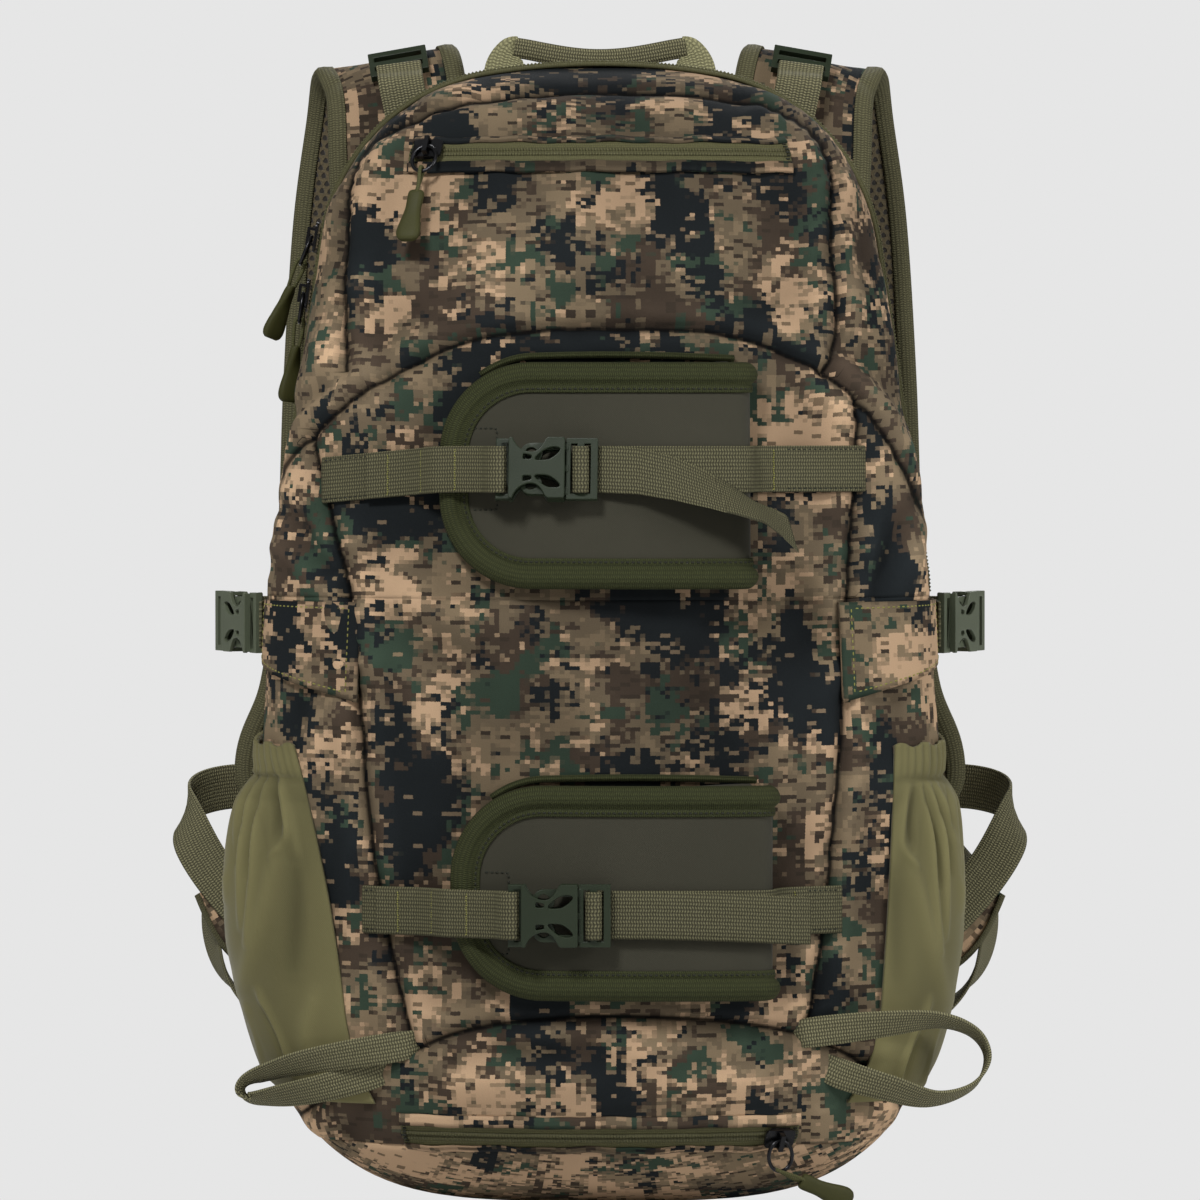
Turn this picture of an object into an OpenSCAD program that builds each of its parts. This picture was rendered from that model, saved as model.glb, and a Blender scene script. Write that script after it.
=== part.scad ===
// Hunting day pack with a front opening lid, two folded sling flaps, stretch side pockets,
// shoulder straps and a hip belt fastened behind the back. Millimetres. The bag stands on its
// base: right of the pack is +X, its front faces -Y and its top is +Z.

/* [Bag outline] */
// Height of the bag body
bag_h = 486; // [476:1:496]
// Width where the zip arch springs from the sides
spring_w = 281; // [277:1:285]
// Height where the zip arch springs from the sides
spring_z = 265; // [262:1:270]
// Lean of the straight zip sides, degrees
side_lean = 8.24; // [7:0.1:9.5]
// Radius of the two shoulders of the zip arch
corner_r = 85.2; // [80:0.2:90]
// Angle where the shoulder arc runs into the top arc, degrees
corner_end = 80.25; // [78:0.25:82]
// Widest width, at the belly
belly_w = 288; // [285:1:291]
// Height of the belly
belly_z = 127; // [120:1:134]
// Width of the flat of the base
base_w = 112; // [104:1:120]
// Height of the rounding from the base into the sides
base_rise = 88; // [82:1:94]

/* [Bag depth] */
// Place of the zip plane, behind the middle of the base
zip_y = 16; // [10:1:22]
// Depth of the front half at the belly
front_depth = 136; // [132:1:140]
// Depth that the front half leans back to at the top
front_depth_top = 49; // [46:1:52]
// Radius of the front across its width
front_r = 230; // [222:1:240]
// Radius between the front and the sides
front_corner_r = 40; // [37:1:42]
// Depth of the front half at the flat of the base
base_front_d = 66; // [62:1:70]
// Height of the rounding from the base into the front
base_front_rise = 75; // [70:1:80]
// Height of the rounding from the front into the top
top_front_drop = 46; // [42:1:50]
// Depth of the rear half
rear_depth = 58; // [55:1:62]
// Radius of the back across its width
rear_r = 600; // [560:10:680]
// Radius between the back and the sides
rear_corner_r = 30; // [27:1:33]
// Depth of the rear half at the flat of the base
base_rear_d = 34; // [31:1:37]
// Height of the rounding from the base into the back
base_rear_rise = 45; // [42:1:48]
// Height of the rounding from the back into the top
top_rear_drop = 56; // [52:1:60]
// Thickness of a panel: cloth, foam and lining
wall = 3; // [2.4:0.1:3.4]
// Width of the seam left between two panels
seam = 0.3; // [0.2:0.05:0.4]
// Height of the seam between base and walls
base_seam_z = 28; // [26:0.5:29]
// Height of the fold that the lid hangs on
lid_z = 258; // [255:0.5:259]
// Distance of the seam under the top gusset from the top of the bag
top_seam_drop = 50; // [46:1:56]

/* [Webbing and fittings] */
// Width of the webbing
web_w = 20; // [19:0.5:20.5]
// Thickness of the webbing
web_t = 1.5; // [1.2:0.1:1.6]
// Gap between pieces that lie on each other
lay = 0.4; // [0.3:0.05:0.5]
// Length of a buckle socket
socket_len = 29; // [28:0.5:31]
// Width of a buckle
buckle_w = 26; // [25.5:0.5:27]
// Thickness of a buckle socket
socket_t = 9; // [8.6:0.1:9.4]
// Wall at the sides of the socket's mouth
socket_wall = 1.7; // [1.4:0.1:1.9]
// Play between prongs and socket
prong_play = 0.35; // [0.25:0.05:0.5]
// Thickness of the bars of a buckle or lock
bar_t = 3.5; // [3:0.1:3.6]
// Width of a webbing slot
slot_w = 2.8; // [2.6:0.1:3]
// Width of a bar between slots
bar_w = 2.8; // [2.6:0.1:3.2]
// Depth of the scoops that show the prongs
scoop = 3.5; // [3:0.1:4]

/* [Sling flaps] */
// Height of the middle of the upper flap
upper_z = 310; // [308:0.5:312]
// Height of the upper flap
upper_h = 93; // [88:1:95]
// Height of the upper strap above the middle of its flap
upper_strap = 2.5; // [0:0.5:5]
// Height of the middle of the lower flap
lower_z = 136.5; // [132:0.5:141]
// Height of the lower flap
lower_h = 88; // [82:1:92]
// Height of the lower strap above the middle of its flap
lower_strap = -8.5; // [-11:0.5:-4]
// Thickness of the flap cloth
flap_t = 2.4; // [2:0.1:2.6]
// Radius of the fold
fold_r = 6.5; // [5.8:0.1:7]
// Radius of the round end of a flap
flap_end_r = 38; // [34:1:41]
// Width of the edge binding
binding_w = 12; // [10:0.5:13]
// Thickness of the edge binding
binding_t = 1.2; // [1:0.1:1.3]

/* [Zips] */
// Distance of the front pocket zip from the top of the bag
front_zip_drop = 40; // [38:0.5:43]
// Reach of the front pocket zip to each side, degrees
front_zip_deg = 20.5; // [18:0.5:21]
// Height of the bottom pocket zip
bottom_zip_z = 34; // [32:0.5:37]
// Reach of the bottom pocket zip to each side, degrees
bottom_zip_deg = 21; // [18:0.5:22]
// Width of a zip tape
tape_w = 16; // [13:0.5:17]
// Thickness of a zip tape
tape_t = 0.8; // [0.6:0.1:0.9]
// Width of the zip's coil
coil_w = 4.6; // [4:0.2:5]
// Height of the coil over the tape
coil_h = 1.5; // [1.2:0.1:1.7]
// Length of a slider
slider_len = 13; // [12:0.5:14]
// Width of a slider
slider_w = 9; // [8.4:0.2:9.6]
// Thickness of a slider's plate
slider_t = 1.2; // [1:0.1:1.4]
// Radius of a pull's ring to the middle of its wire
ring_r = 5; // [4.6:0.1:5.4]
// Radius of the ring's wire
wire_r = 0.75; // [0.65:0.05:0.85]
// Radius of the pull's cord
cord_r = 0.8; // [0.7:0.05:0.9]
// Length of a pull's rubber tab
tab_len = 24; // [22:0.5:26]
// Width of a pull's rubber tab
tab_w = 11; // [10:0.5:12]
// Thickness of a pull's rubber tab
tab_t = 4.6; // [4.2:0.1:5]

/* [Pockets and pads] */
// Height of the side pockets' mouths
pocket_top_z = 192; // [188:1:196]
// Height of the side pockets' bottoms
pocket_low_z = 46; // [44:1:50]
// Swell of a side pocket
pocket_swell = 15; // [12:0.5:17]
// Width of a side pocket's mouth
pocket_mouth = 7.5; // [6:0.5:9]
// Thickness of the stretch cloth
pocket_t = 1.4; // [1.1:0.1:1.6]
// Reach that a side pocket's front edge gains towards its bottom, as a share
pocket_slant = 0.9; // [0.5:0.05:1]
// Thickness of the back pads
pad_t = 12; // [10:0.5:13]
// Reach of the back pads to each side
pad_reach = 82; // [78:1:84]
// Half of the channel between the back pads
pad_channel = 12; // [10:1:16]
// Distance of the back pads from the top of the bag
pad_drop = 81; // [78:1:86]
// Height of the lumbar pad's bottom
lumbar_low_z = 62; // [58:1:66]
// Height of the lumbar pad
lumbar_h = 88; // [84:1:92]
// Gap between the lumbar pad and the back pads
pad_gap = 8; // [6:1:10]
// Thickness of the stiffening sheet in the back
sheet_t = 1.5; // [1.2:0.1:2]

/* [Harness] */
// Width of a shoulder strap
strap_w = 62; // [58:1:64]
// Thickness of a shoulder strap
strap_t = 11; // [9:0.5:12]
// Thickness of a hip belt wing
wing_t = 8; // [7:0.5:9]
// Width of the tool loops
loop_w = 13; // [11:0.5:14]
// Thickness of the grab handle
handle_t = 3; // [2.4:0.1:3.4]
// Width of a foot of the grab handle
handle_foot = 19; // [17:0.5:20]
// Height of the handle's band
handle_band = 9; // [8:0.5:10]

/* [Hidden] */
back_y = zip_y + rear_depth;
top_front_z = bag_h - top_front_drop;
top_rear_z = bag_h - top_rear_drop;
top_seam_z = bag_h - top_seam_drop;
front_zip_z = bag_h - front_zip_drop;
compression_z = lid_z - web_w / 2 - 2.5;
lead = (1 - sin(corner_end)) / cos(corner_end);
shoulder_rise = corner_r - corner_r * sin(side_lean) + lead * (spring_w / 2 - corner_r * cos(side_lean));
side_len = (bag_h - spring_z - shoulder_rise) / (cos(side_lean) - lead * sin(side_lean));
corner_x = spring_w / 2 - side_len * sin(side_lean) - corner_r * cos(side_lean);
corner_z = spring_z + side_len * cos(side_lean) - corner_r * sin(side_lean);
top_r = corner_r + corner_x / cos(corner_end);
top_z = bag_h - top_r;
corner_lo_z = corner_z + corner_r * sin(side_lean);
corner_hi_z = corner_z + corner_r * sin(corner_end);
side_cols = 2;
corner_cols = 4;
front_cols = 10;
rear_cols = 6;
side_end = side_cols + corner_cols;
ring_h = ring_r + wire_r;

// Outline and depth of the bag at a height

function low_half_w(z) =
  belly_w / 2 - (belly_w - spring_w) / 2 * pow((z - belly_z) / (spring_z - belly_z), 2);

function round_base(z, rise) = z >= rise ? 1 : sqrt(1 - pow((rise - z) / rise, 2));

function round_top(z, from) =
  z <= from ? 1 : pow(max(0, 1 - pow((z - from) / (bag_h - from), 2)), 0.6);

function half_w(z) =
  z < base_rise ? base_w / 2 + (low_half_w(base_rise) - base_w / 2) * round_base(z, base_rise) :
  z < spring_z ? low_half_w(z) :
  z < corner_lo_z ? spring_w / 2 - (z - spring_z) * tan(side_lean) :
  z < corner_hi_z ? corner_x + sqrt(pow(corner_r, 2) - pow(z - corner_z, 2)) :
  sqrt(max(0, pow(top_r, 2) - pow(z - top_z, 2)));

function front_lean(z) =
  front_depth - (front_depth - front_depth_top) * pow(max(0, z - belly_z) / (bag_h - belly_z), 2.25);

function front_d(z) = round_top(z, top_front_z)
  * (base_front_d + (front_lean(z) - base_front_d) * round_base(z, base_front_rise));

function rear_d(z) = round_top(z, top_rear_z)
  * (base_rear_d + (rear_depth - base_rear_d) * round_base(z, base_rear_rise));

// Lean of the front at a height, degrees: positive where it overhangs
function front_tilt(z) = atan((front_d(z + 0.5) - front_d(z - 0.5)));

// Axis of the front's round at a height
function front_axis(z) = zip_y - front_d(z) + front_r;

// One half of the section at a height, from the zip plane round to the zip plane.
// Each entry is x, y from the zip plane, and the way out there.
function half_section(a, d, r_face, r_max, face_cols) =
  let (r = min(r_max, 0.65 * d))
  let (yr = r_face - d - sqrt(pow(r_face - r, 2) - pow(a - r, 2)))
  let (turn = asin((a - r) / (r_face - r)))
  concat(
    [for (i = [0:side_cols - 1]) [-a, yr * i / side_cols, -1, 0]],
    [for (i = [0:corner_cols - 1]) let (f = 90 - (90 - turn) * i / corner_cols)
      [-(a - r) - r * sin(f), yr - r * cos(f), -sin(f), -cos(f)]],
    [for (i = [0:face_cols]) let (f = turn * (2 * i / face_cols - 1))
      [r_face * sin(f), r_face - d - r_face * cos(f), sin(f), -cos(f)]],
    [for (i = [1:corner_cols]) let (f = turn + (90 - turn) * i / corner_cols)
      [a - r + r * sin(f), yr - r * cos(f), sin(f), -cos(f)]],
    [for (i = [1:side_cols]) [a, yr * (1 - i / side_cols), 1, 0]]
  );

function front_section(z) = half_section(half_w(z), front_d(z), front_r, front_corner_r, front_cols);

// The rear half runs from right to left, so that both halves turn the same way round
function rear_section(z) =
  [for (p = half_section(half_w(z), rear_d(z), rear_r, rear_corner_r, rear_cols))
    [-p[0], -p[1], -p[2], -p[3]]];

// The same section set out by d, at the zip plane's place
function ring(section, z, d, y0) = [for (p = section) [p[0] + d * p[2], y0 + p[1] + d * p[3], z]];

// The inside of a panel: drawn in by the wall to the side, and down by it where the top is flat
function inner_z(z) =
  z > top_rear_z ? z - wall * pow((z - top_rear_z) / (bag_h - top_rear_z), 3) :
  z < base_seam_z ? z + wall * pow(1 - z / base_seam_z, 2) : z;

function drawn(section, z, a, d, y0) =
  [for (p = section) [p[0] * max(1 - wall / a, 0.35), y0 + p[1] * max(1 - wall / d, 0.35), inner_z(z)]];

function columns(grid, from, to) = [for (row = grid) [for (j = [from:to]) row[j]]];

// A closed solid between an outer and an inner grid of points
module patch(outer, inner) {
  rows = len(outer);
  cols = len(outer[0]);
  n = rows * cols;
  skins = [for (i = [0:rows - 2]) for (j = [0:cols - 2]) let (a = i * cols + j, b = a + cols)
    each [[a, b, b + 1], [a, b + 1, a + 1], [n + a, n + b + 1, n + b], [n + a, n + a + 1, n + b + 1]]];
  ends = [for (j = [0:cols - 2]) let (b = n - cols + j)
    each [[j, j + 1, n + j + 1], [j, n + j + 1, n + j], [b + 1, b, n + b], [b + 1, n + b, n + b + 1]]];
  sides = [for (i = [0:rows - 2]) let (a = i * cols, b = a + cols, c = b - 1, e = b + cols - 1)
    each [[b, a, n + a], [b, n + a, n + b], [c, e, n + e], [c, n + e, n + c]]];
  points = [for (row = concat(outer, inner)) for (p = row) p];
  polyhedron(points, concat(skins, ends, sides));
}

function unit(v) = v / norm(v);

// A smooth run through hand-placed stations
function blend4(a, b, c, d, t) =
  0.5 * (2 * b + (c - a) * t + (2 * a - 5 * b + 4 * c - d) * t * t + (3 * b - a - 3 * c + d) * t * t * t);

function smooth(s, steps) = let (last = len(s) - 1) concat(
  [for (i = [0:last - 1]) for (k = [0:steps - 1])
    blend4(s[max(i - 1, 0)], s[i], s[i + 1], s[min(i + 2, last)], k / steps)],
  [s[last]]
);

// A strip along stations of place, way across and width. Rows are shares of the half width with
// their share of the thickness.
flat_rows = [[-1, 1], [1, 1]];
padded_rows = [[-1, 0.35], [-0.86, 0.8], [-0.5, 1], [0.5, 1], [0.86, 0.8], [1, 0.35]];

module strip(stations, thick, rows = flat_rows, steps = 3) {
  s = smooth(stations, steps);
  last = len(s) - 1;
  at = [for (q = s) [q[0], q[1], q[2]]];
  along = [for (i = [0:last]) unit(at[min(i + 1, last)] - at[max(i - 1, 0)])];
  wide = [for (i = [0:last]) let (w = [s[i][3], s[i][4], s[i][5]]) unit(w - (w * along[i]) * along[i])];
  up = [for (i = [0:last]) cross(along[i], wide[i])];
  function face(side) = [for (r = rows) [for (i = [0:last])
    at[i] + wide[i] * (r[0] * s[i][6] / 2) + up[i] * (side * r[1] * thick / 2)]];
  patch(face(1), face(-1));
}

// Runs of points in a plane, set out sideways
function side_of(p, i) =
  let (last = len(p) - 1)
  let (u = unit(p[max(i, 1)] - p[max(i, 1) - 1]),
    v = unit(p[min(i, last - 1) + 1] - p[min(i, last - 1)]))
  let (m = unit(u + v))
  [-m[1], m[0]] / max(0.4, m * v);

function set_out(p, d) = [for (i = [0:len(p) - 1]) p[i] + d * side_of(p, i)];

function reversed(p) = [for (i = [len(p) - 1:-1:0]) p[i]];

// A place on the front: s along its width, height z, and d out from the cloth
function on_front(s, z, d) =
  let (f = s / front_r * 180 / PI)
  [(front_r + d) * sin(f), front_axis(z) - (front_r + d) * cos(f), z];

module at_front(s, z, d, tilt) {
  f = s / front_r * 180 / PI;
  translate(on_front(s, z, d)) rotate([0, 0, f]) rotate([tilt, 0, 0]) children();
}

// A ribbon on the front: its run in s and d, its thickness, and at each point its height and half width
module front_ribbon(run, thick, mid, half) {
  left = set_out(run, thick / 2);
  right = set_out(run, -thick / 2);
  function face(p) = [for (v = [-1, 0, 1]) [for (i = [0:len(p) - 1])
    on_front(p[i][0], mid[i] + v * half[i], p[i][1])]];
  patch(face(left), face(right));
}

// Panels

base_steps = 4;
base_levels = [for (i = [0:base_steps]) base_seam_z * pow(i / base_steps, 1.6)];
wall_low = base_seam_z + seam;
low_levels = concat([for (i = [0:5]) wall_low + (base_rise - wall_low) * i / 5],
  [for (i = [1:4]) base_rise + (lid_z - seam - base_rise) * i / 4]);
mid_levels = [for (i = [1:4]) lid_z + (top_seam_z - seam - lid_z) * i / 4];
lid_levels = concat([lid_z], [for (i = [1:4]) lid_z + (corner_lo_z - lid_z) * i / 4],
  [for (i = [1:8]) corner_lo_z + (bag_h - 0.05 - corner_lo_z) * sin(i * 90 / 8)]);
top_levels = [for (i = [0:7]) top_seam_z + (bag_h - 0.05 - top_seam_z) * sin(i * 90 / 7)];

front_y0 = zip_y - seam / 2;
rear_y0 = zip_y + seam / 2;

module front_shell(levels) {
  patch([for (z = levels) ring(front_section(z), z, 0, front_y0)],
    [for (z = levels) drawn(front_section(z), z, half_w(z), front_d(z), front_y0)]);
}

module rear_shell(levels, from, to) {
  outer = [for (z = levels) ring(rear_section(z), z, 0, rear_y0)];
  inner = [for (z = levels) drawn(rear_section(z), z, half_w(z), rear_d(z), rear_y0)];
  patch(columns(outer, from, to), columns(inner, from, to));
}

module lower_front_panel() {
  color([0.42, 0.36, 0.28]) front_shell(low_levels);
}

module lid_panel() {
  color([0.45, 0.38, 0.3]) front_shell(lid_levels);
}

module back_panel() {
  levels = concat(low_levels, mid_levels);
  color([0.2, 0.2, 0.18]) rear_shell(levels, side_end, side_end + rear_cols);
}

// A gusset stops a seam short of the back panel, and its last column leans by that much
module gusset(way) {
  levels = concat(low_levels, mid_levels);
  outer = [for (z = levels) let (p = columns([ring(rear_section(z), z, 0, rear_y0)], 0, side_end)[0])
    [for (j = [0:side_end]) j < side_end ? p[j] : p[j] + seam * unit(p[j - 1] - p[j])]];
  inner = [for (z = levels)
    let (p = columns([drawn(rear_section(z), z, half_w(z), rear_d(z), rear_y0)], 0, side_end)[0])
    [for (j = [0:side_end]) j < side_end ? p[j] : p[j] + seam * unit(p[j - 1] - p[j])]];
  mirror([way, 0, 0]) patch(outer, inner);
}

module left_gusset() {
  color([0.4, 0.34, 0.27]) gusset(1);
}

module right_gusset() {
  color([0.4, 0.34, 0.27]) gusset(0);
}

module top_gusset() {
  color([0.4, 0.34, 0.27]) rear_shell(top_levels, 0, 2 * side_end + rear_cols);
}

// The base is a bowl: two half rings closed into one, with a flat floor
module base_panel() {
  function whole(z, inside) =
    let (f = front_section(z), r = rear_section(z), a = half_w(z))
    let (fp = inside ? drawn(f, z, a, front_d(z), zip_y) : ring(f, z, 0, zip_y))
    let (rp = inside ? drawn(r, z, a, rear_d(z), zip_y) : ring(r, z, 0, zip_y))
    concat([for (i = [0:len(fp) - 2]) fp[i]], [for (i = [0:len(rp) - 2]) rp[i]]);
  outer = [for (z = base_levels) whole(z, false)];
  inner = [for (z = base_levels) whole(z, true)];
  cols = len(outer[0]);
  n = cols * len(base_levels);
  top = n - cols;
  skins = [for (i = [0:base_steps - 1]) for (j = [0:cols - 1])
    let (k = (j + 1) % cols, a = i * cols + j, b = i * cols + k)
    each [[a, a + cols, b + cols], [a, b + cols, b],
      [n + a, n + b + cols, n + a + cols], [n + a, n + b, n + b + cols]]];
  rim = [for (j = [0:cols - 1]) let (a = top + j, b = top + (j + 1) % cols)
    each [[b, a, n + a], [b, n + a, n + b]]];
  mid = 2 * n;
  floors = [for (j = [0:cols - 1]) let (k = (j + 1) % cols) each [[mid, j, k],
    [mid + 1, n + k, n + j]]];
  points = concat([for (row = concat(outer, inner)) for (p = row) p],
    [[0, zip_y, 0], [0, zip_y, wall]]);
  color([0.35, 0.31, 0.25]) polyhedron(points, concat(skins, rim, floors));
}

// Side pockets of stretch cloth, swelling below a gathered mouth

pocket_levels = [for (i = [0:8]) pocket_low_z + (pocket_top_z - pocket_low_z) * i / 8];

module side_pocket(way) {
  first = side_end + front_cols;
  function side_run(z, d) =
    let (f = front_section(z), r = rear_section(z),
      up = (z - pocket_low_z) / (pocket_top_z - pocket_low_z))
    let (reach = pocket_slant * (1 - 0.85 * up))
    let (edge = [for (k = [1, 0.5]) f[first] + (f[first - 1] - f[first]) * reach * k])
    let (run = concat(edge, [for (j = [first:first + side_end]) f[j]],
      [for (j = [1:side_end - 1]) r[j]]))
    let (last = len(run) - 1)
    [for (j = [0:last])
      let (across = sin(180 * j / last),
        swell = pocket_swell * pow(sin(180 * pow(up, 0.7)), 0.8))
      let (out = lay * 2 + (swell + pocket_mouth * pow(up, 3)) * across + d)
      [run[j][0] + out * run[j][2], zip_y + run[j][1] + out * run[j][3], z]];
  mirror([way, 0, 0]) patch([for (z = pocket_levels) side_run(z, pocket_t)],
    [for (z = pocket_levels) side_run(z, 0)]);
}

module left_side_pocket() {
  color([0.45, 0.45, 0.3]) side_pocket(1);
}

module right_side_pocket() {
  color([0.45, 0.45, 0.3]) side_pocket(0);
}

// Compression straps at the sides: a cloth tab from the front, webbing, a buckle and webbing to
// the back

tab_run = 16;
comp_turn = 27;
comp_x = half_w(compression_z) + 5.4;
comp_y = zip_y - 33;

module compression_tab(way) {
  first = side_end + front_cols - 1;
  f = front_section(compression_z);
  run = concat([for (j = [first:first + corner_cols + 1]) f[j]],
    [f[first + corner_cols + 1] + [0, tab_run, 0, 0]]);
  last = len(run) - 1;
  function face(d) = [for (v = [0, 0.5, 1]) [for (j = [0:last])
    let (low = compression_z - web_w / 2 - 1 - 20 * (1 - j / last))
    let (z = low + (compression_z + web_w / 2 + 1 - low) * v)
    let (p = front_section(z)[min(first + j, first + corner_cols + 1)])
    let (more = j == last ? tab_run : 0)
    [p[0] + d * p[2], zip_y + p[1] + more + d * p[3], z]]];
  mirror([way, 0, 0]) patch(face(lay + web_t), face(lay));
}

module at_compression(way) {
  mirror([way, 0, 0]) translate([comp_x, comp_y, compression_z]) rotate([0, 0, 90 - comp_turn])
    rotate([-90, 0, 0]) translate([socket_len, 0, 0]) children();
}

module left_compression_tab() {
  color([0.42, 0.36, 0.28]) compression_tab(1);
}

module right_compression_tab() {
  color([0.42, 0.36, 0.28]) compression_tab(0);
}

male_len = 2 + 2 * slot_w + 2 * bar_w + 0.3;

module compression_webbing(way) {
  a = half_w(compression_z);
  along = [sin(comp_turn), cos(comp_turn)];
  side = [cos(comp_turn), -sin(comp_turn)];
  bar = [comp_x, comp_y] + along * (bar_w + slot_w / 2);
  tail = [comp_x, comp_y] + along * (socket_len + male_len - bar_w - slot_w / 2);
  off = bar_t / 2 + lay + web_t / 2;
  z = compression_z;
  start = a + lay * 3 + web_t * 1.5;
  rear = half_section(a, rear_depth, rear_r, rear_corner_r, rear_cols);
  turn_at = [a - rear_corner_r, zip_y - rear[side_cols][1]];
  function round_back(f) = turn_at + (rear_corner_r + lay * 2 + web_t / 2) * [cos(f), sin(f)];
  mirror([way, 0, 0]) {
    strip([for (p = [[start, comp_y - 24], [start, comp_y - 12], [start - 0.3, comp_y - 6],
      [start - 0.5, comp_y - 2], bar - along * 2.8 - side * (off + 0.45),
      bar - along * 0.9 - side * (off - 0.1), bar - side * 1.5, bar])
      [p[0], p[1], z, 0, 0, 1, web_w]], web_t, flat_rows, 2);
    strip([for (p = [tail, tail - side * 1.5, tail + along * 0.9 - side * (off - 0.3),
      tail + along * 2.8 - side * off,
      tail + along * 8 - side * (off + 1), tail + along * 16 - side * 9, round_back(26) + [3, -1],
        round_back(40), round_back(58)])
      [p[0], p[1], z, 0, 0, 1, web_w]], web_t, flat_rows, 3);
  }
}

module left_compression_webbing() {
  color([0.39, 0.38, 0.29]) compression_webbing(1);
}

module right_compression_webbing() {
  color([0.39, 0.38, 0.29]) compression_webbing(0);
}

// Side-release buckle, along X with its mouth at 0, thickness along Z

module bars(x0, length, width, count) {
  step = slot_w + bar_w;
  difference() {
    translate([x0, -width / 2]) square([length, width]);
    for (i = [0:count - 1]) translate([x0 + length - (i + 1) * step, -web_w / 2 - 0.6])
      square([slot_w, web_w + 1.2]);
  }
}

module leaf(length, width) {
  r = (length * length / 4 + width * width / 4) / width;
  intersection() {
    translate([0, r - width / 2]) circle(r);
    translate([0, width / 2 - r]) circle(r);
  }
}

ring_out = 4.6;

module buckle_female() {
  half = buckle_w / 2;
  mouth = half - socket_wall;
  scoop_r = 9;
  scoop_x = -socket_len / 2;
  cavity = socket_len - bar_w - slot_w - 1.2;
  difference() {
    linear_extrude(socket_t, center = true) difference() {
      translate([-socket_len, -half]) square([socket_len, buckle_w]);
      for (y = [-1, 1]) translate([scoop_x, y * (half + scoop_r - scoop)]) circle(scoop_r);
      translate([-socket_len + bar_w, -web_w / 2 - 0.6]) square([slot_w, web_w + 1.2]);
    }
    translate([-cavity, -mouth, -2.6]) cube([cavity + 1, 2 * mouth, 5.2]);
    for (z = [bar_t / 2, -bar_t / 2 - 10]) translate([-socket_len - 1, -half - 1, z])
      cube([bar_w + slot_w + 1, buckle_w + 2, 10]);
    for (y = [-1, 1]) translate([-socket_len * 0.33, y * 4.6, 0]) linear_extrude(socket_t) leaf(11, 4);
    for (y = [-1, 1]) translate([-socket_len * 0.7, y * 4.2, 0]) cylinder(h = socket_t, r = 1.3);
  }
}

module buckle_male() {
  half = buckle_w / 2;
  mouth = half - socket_wall;
  reach = mouth - prong_play;
  ring_x = -socket_len / 2;
  ring_y = reach - ring_out;
  translate([0.3, 0, 0]) {
    translate([0, 0, -bar_t / 2]) linear_extrude(bar_t) bars(0, male_len - 0.3, buckle_w, 2);
    translate([0, 0, -2.1]) linear_extrude(4.2) {
      translate([ring_x - 1, -1.3]) square([1 - ring_x + 1, 2.6]);
      for (y = [-1, 1]) {
        difference() {
          union() {
            translate([ring_x, y * ring_y]) circle(ring_out);
            translate([ring_x, y > 0 ? reach - 3 : -reach]) square([1 - ring_x, 3]);
          }
          translate([ring_x, y * ring_y]) circle(ring_out - 2);
        }
      }
    }
  }
}

// Ladder lock: a frame with two slots, lying on XY

lock_len = 3 * bar_w + 2 * slot_w;

module ladder_lock() {
  translate([-lock_len / 2, 0, -bar_t / 2]) linear_extrude(bar_t) difference() {
    translate([0, -buckle_w / 2]) square([lock_len, buckle_w]);
    for (i = [0, 1]) translate([bar_w + i * (bar_w + slot_w), -web_w / 2 - 0.6])
      square([slot_w, web_w + 1.2]);
  }
}

module buckle_colour() {
  color([0.23, 0.26, 0.23]) children();
}

module left_compression_female() {
  buckle_colour() at_compression(1) buckle_female();
}

module right_compression_female() {
  buckle_colour() at_compression(0) buckle_female();
}

module left_compression_male() {
  buckle_colour() at_compression(1) buckle_male();
}

module right_compression_male() {
  buckle_colour() at_compression(0) buckle_male();
}

// Sling flaps: cloth folded on its right, its round end held down by a strap.
// The front layer stands off more towards the fold.

flap_low = lay * 2 + flap_t / 2;
flap_close = flap_low + flap_t + lay;
flap_far = flap_low + 2 * fold_r;

function flap_d(s, s0, s1) =
  flap_close + (flap_far - flap_close) * pow(max(0, (s - s0) / (s1 - fold_r - flap_t / 2 - s0)), 1.5);

// Half height of a flap along its width, with the corners of its free end rounded
function flap_half(s, s0, h) =
  s > s0 + flap_end_r ? h / 2 : h / 2 - flap_end_r + sqrt(max(1,
    pow(flap_end_r, 2) - pow(s0 + flap_end_r - s, 2)));

module sling_flap(z, h, s0, s1) {
  far = s1 - fold_r - flap_t / 2;
  shares = [0, 0.03, 0.08, 0.16, 0.26, 0.4, 0.55, 0.7, 0.85, 1];
  under = [for (k = shares) [s0 + (far - s0) * k, flap_low]];
  fold = [for (f = [-60:30:60]) [far + fold_r * cos(f), flap_low + fold_r * (1 + sin(f))]];
  over = [for (k = reversed(shares)) let (s = s0 + (far - s0) * k) [s, flap_d(s, s0, s1)]];
  run = concat(under, fold, over);
  front_ribbon(run, flap_t, [for (p = run) z], [for (p = run) flap_half(p[0], s0, h)]);
}

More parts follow.
